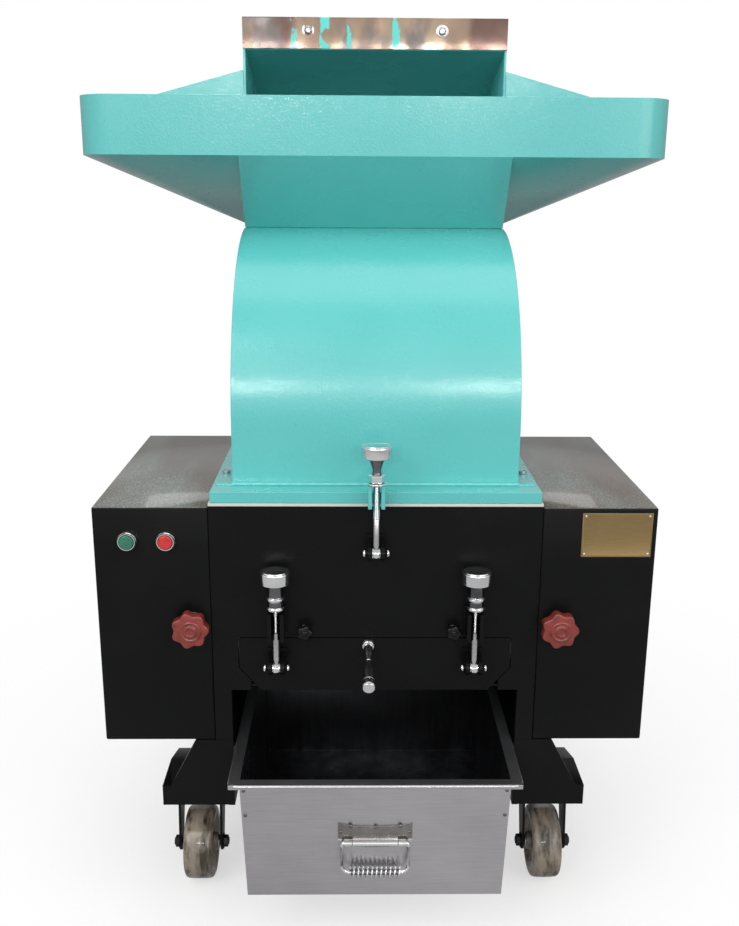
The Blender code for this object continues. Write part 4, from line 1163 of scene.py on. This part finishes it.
def world_light():
    """Pale surroundings, brightest high in front, and plain white where the camera sees past."""
    world = bpy.data.worlds.new("studio")
    bpy.context.scene.world = world
    world.use_nodes = True
    tree = world.node_tree
    front = level(tree, place_axis(tree, "Y", "Generated"), -0.85, 0.5, WORLD_FRONT, WORLD_BACK)
    rise = level(tree, place_axis(tree, "Z", "Generated"), -0.05, 0.25, 0.45, 1.0)
    overhead = level(tree, place_axis(tree, "Z", "Generated"), 0.55, 1.0, 1.0, WORLD_OVERHEAD)
    shade = maths(tree, "MULTIPLY", maths(tree, "MULTIPLY", front, rise), overhead)
    camera_ray = tree.nodes.new("ShaderNodeLightPath").outputs["Is Camera Ray"]
    hidden = maths(tree, "MULTIPLY", shade, maths(tree, "SUBTRACT", 1.0, camera_ray))
    background = tree.nodes["Background"]
    tree.links.new(maths(tree, "ADD", hidden, camera_ray), background.inputs["Strength"])
    background.inputs["Color"].default_value = (1, 1, 1, 1)


def studio_floor():
    """White to the camera and pale in gloss, with little light thrown back up, and pure white far out."""
    made, tree, shader = tree_of("studio_floor")
    shader.inputs["Roughness"].default_value = 0.9
    shader.inputs["Specular IOR Level"].default_value = 0.0
    paths = tree.nodes.new("ShaderNodeLightPath")
    gloss = maths(tree, "MULTIPLY", paths.outputs["Is Glossy Ray"], FLOOR_IN_GLOSS)
    clear = maths(tree, "MULTIPLY", paths.outputs["Is Transmission Ray"], FLOOR_IN_GLOSS)
    seen = maths(tree, "MAXIMUM", paths.outputs["Is Camera Ray"], maths(tree, "MAXIMUM", gloss, clear))
    tint = mix(tree, seen, (FLOOR_BOUNCE,) * 3, (0.98, 0.98, 0.98))
    feed(shader, "Base Color", tint)
    glow = tree.nodes.new("ShaderNodeEmission")
    tree.links.new(seen, glow.inputs["Strength"])
    middle_of_floor = tree.nodes.new("ShaderNodeVectorMath")
    middle_of_floor.operation = "LENGTH"
    tree.links.new(coordinates(tree), middle_of_floor.inputs[0])
    fade = level(tree, middle_of_floor.outputs["Value"], 0.5, 1.5, FLOOR_GLOW, 1.0)
    blend = tree.nodes.new("ShaderNodeMixShader")
    tree.links.new(maths(tree, "MULTIPLY", fade, seen), blend.inputs["Fac"])
    tree.links.new(shader.outputs["BSDF"], blend.inputs[1])
    tree.links.new(glow.outputs["Emission"], blend.inputs[2])
    output = tree.nodes["Material Output"]
    tree.links.new(blend.outputs["Shader"], output.inputs["Surface"])
    shape = bmesh.new()
    bmesh.ops.create_grid(shape, x_segments=1, y_segments=1, size=FLOOR_SIZE)
    floor = finish_shape(shape, "studio_floor", [made])
    floor.location.z = -FLOOR_DROP


def lamps():
    """A soft key and fill, light from above and behind, and two low strips that glint in the paint."""
    lights = (
        ("key", (-1.7, -2.4, 2.7), (2.0, 2.0), KEY_POWER),
        ("fill", (2.0, -2.2, 2.0), (2.0, 2.0), FILL_POWER),
        ("top", (0.0, 0.4, 3.4), (2.6, 2.6), TOP_POWER),
        ("back", (0.0, 2.2, 3.0), (2.2, 1.4), BACK_POWER),
        ("strip_left", (-0.66, -3.95, 2.0), STRIP_SIZE, STRIP_POWER),
        ("strip_right", (0.66, -3.95, 2.0), STRIP_SIZE, STRIP_POWER),
    )
    for name, at, size, power in lights:
        data = bpy.data.lights.new(name, "AREA")
        data.shape = "RECTANGLE"
        data.size, data.size_y = size
        data.energy = power
        lamp = bpy.data.objects.new(name, data)
        bpy.context.scene.collection.objects.link(lamp)
        lamp.location = at
        aim = Vector((0, 0, AIM_HEIGHT)) - Vector(at)
        lamp.rotation_euler = aim.to_track_quat("-Z", "Y").to_euler()


def camera():
    """The photograph's own viewpoint."""
    data = bpy.data.cameras.new("photo_view")
    data.lens = LENS
    made = bpy.data.objects.new("photo_view", data)
    bpy.context.scene.collection.objects.link(made)
    yaw = Matrix.Rotation(CAMERA_YAW, 4, "Z")
    tilt = Matrix.Rotation(math.pi / 2 - CAMERA_TILT, 4, "X")
    roll = Matrix.Rotation(-CAMERA_ROLL, 4, "Z")
    made.matrix_world = Matrix.Translation(CAMERA_AT) @ yaw @ tilt @ roll
    bpy.context.scene.camera = made


def main():
    bpy.context.scene.view_settings.view_transform = "Standard"
    metals = {name: metal(name) for name in METALS}
    plastics = {name: plastic(name) for name in PLASTICS}
    chrome = metals["chrome_plate"]
    steel = metals["brushed_stainless"]
    bright = metals["bright_steel"]
    dark = metals["dark_steel"]
    black = black_paint()
    teal = teal_paint()
    nylon = wheel_nylon()
    red = plastics["dark_red_plastic"]
    finishes = {
        "teal_paint": teal,
        "black_paint": black,
        "chrome": chrome,
        "stainless": steel,
        "strip": strip_steel(),
        "wheel_nylon": nylon,
        "star_red": red,
        "start_green": plastics["green_button"],
        "stop_red": plastics["red_button"],
    }
    dress_cad(finishes)
    cad_skins(finishes, hammered_black(), metals["soot_and_shade_steel"])
    bolt_knobs(chrome, metals["dark_reflection_chrome"])
    top_nut(chrome)
    swing_bolts(bright, chrome)
    clamp_trim(chrome)
    door_pull(chrome, metals["grip_dark_reflection_chrome"])
    buttons(chrome, finishes)
    star_trim(red, bright)
    small_knobs(plastics["black_plastic"])
    strip_plate(finishes["strip"])
    strip_bolts(bright)
    bare_plate(metals["gold_plate"], chrome)
    drawer_rivets(dark)
    drawer_hem(steel)
    drawer_foot(plastics["pale_rubber"])
    handle_plate(metals["worn_plate"], chrome)
    handle_rivets(dark)
    drawer_bail(chrome)
    bail_grip(chrome, dark)
    wheels(nylon, steel, black)
    weld_beads(teal)
    flange_bolts(steel)
    world_light()
    studio_floor()
    lamps()
    camera()


main()
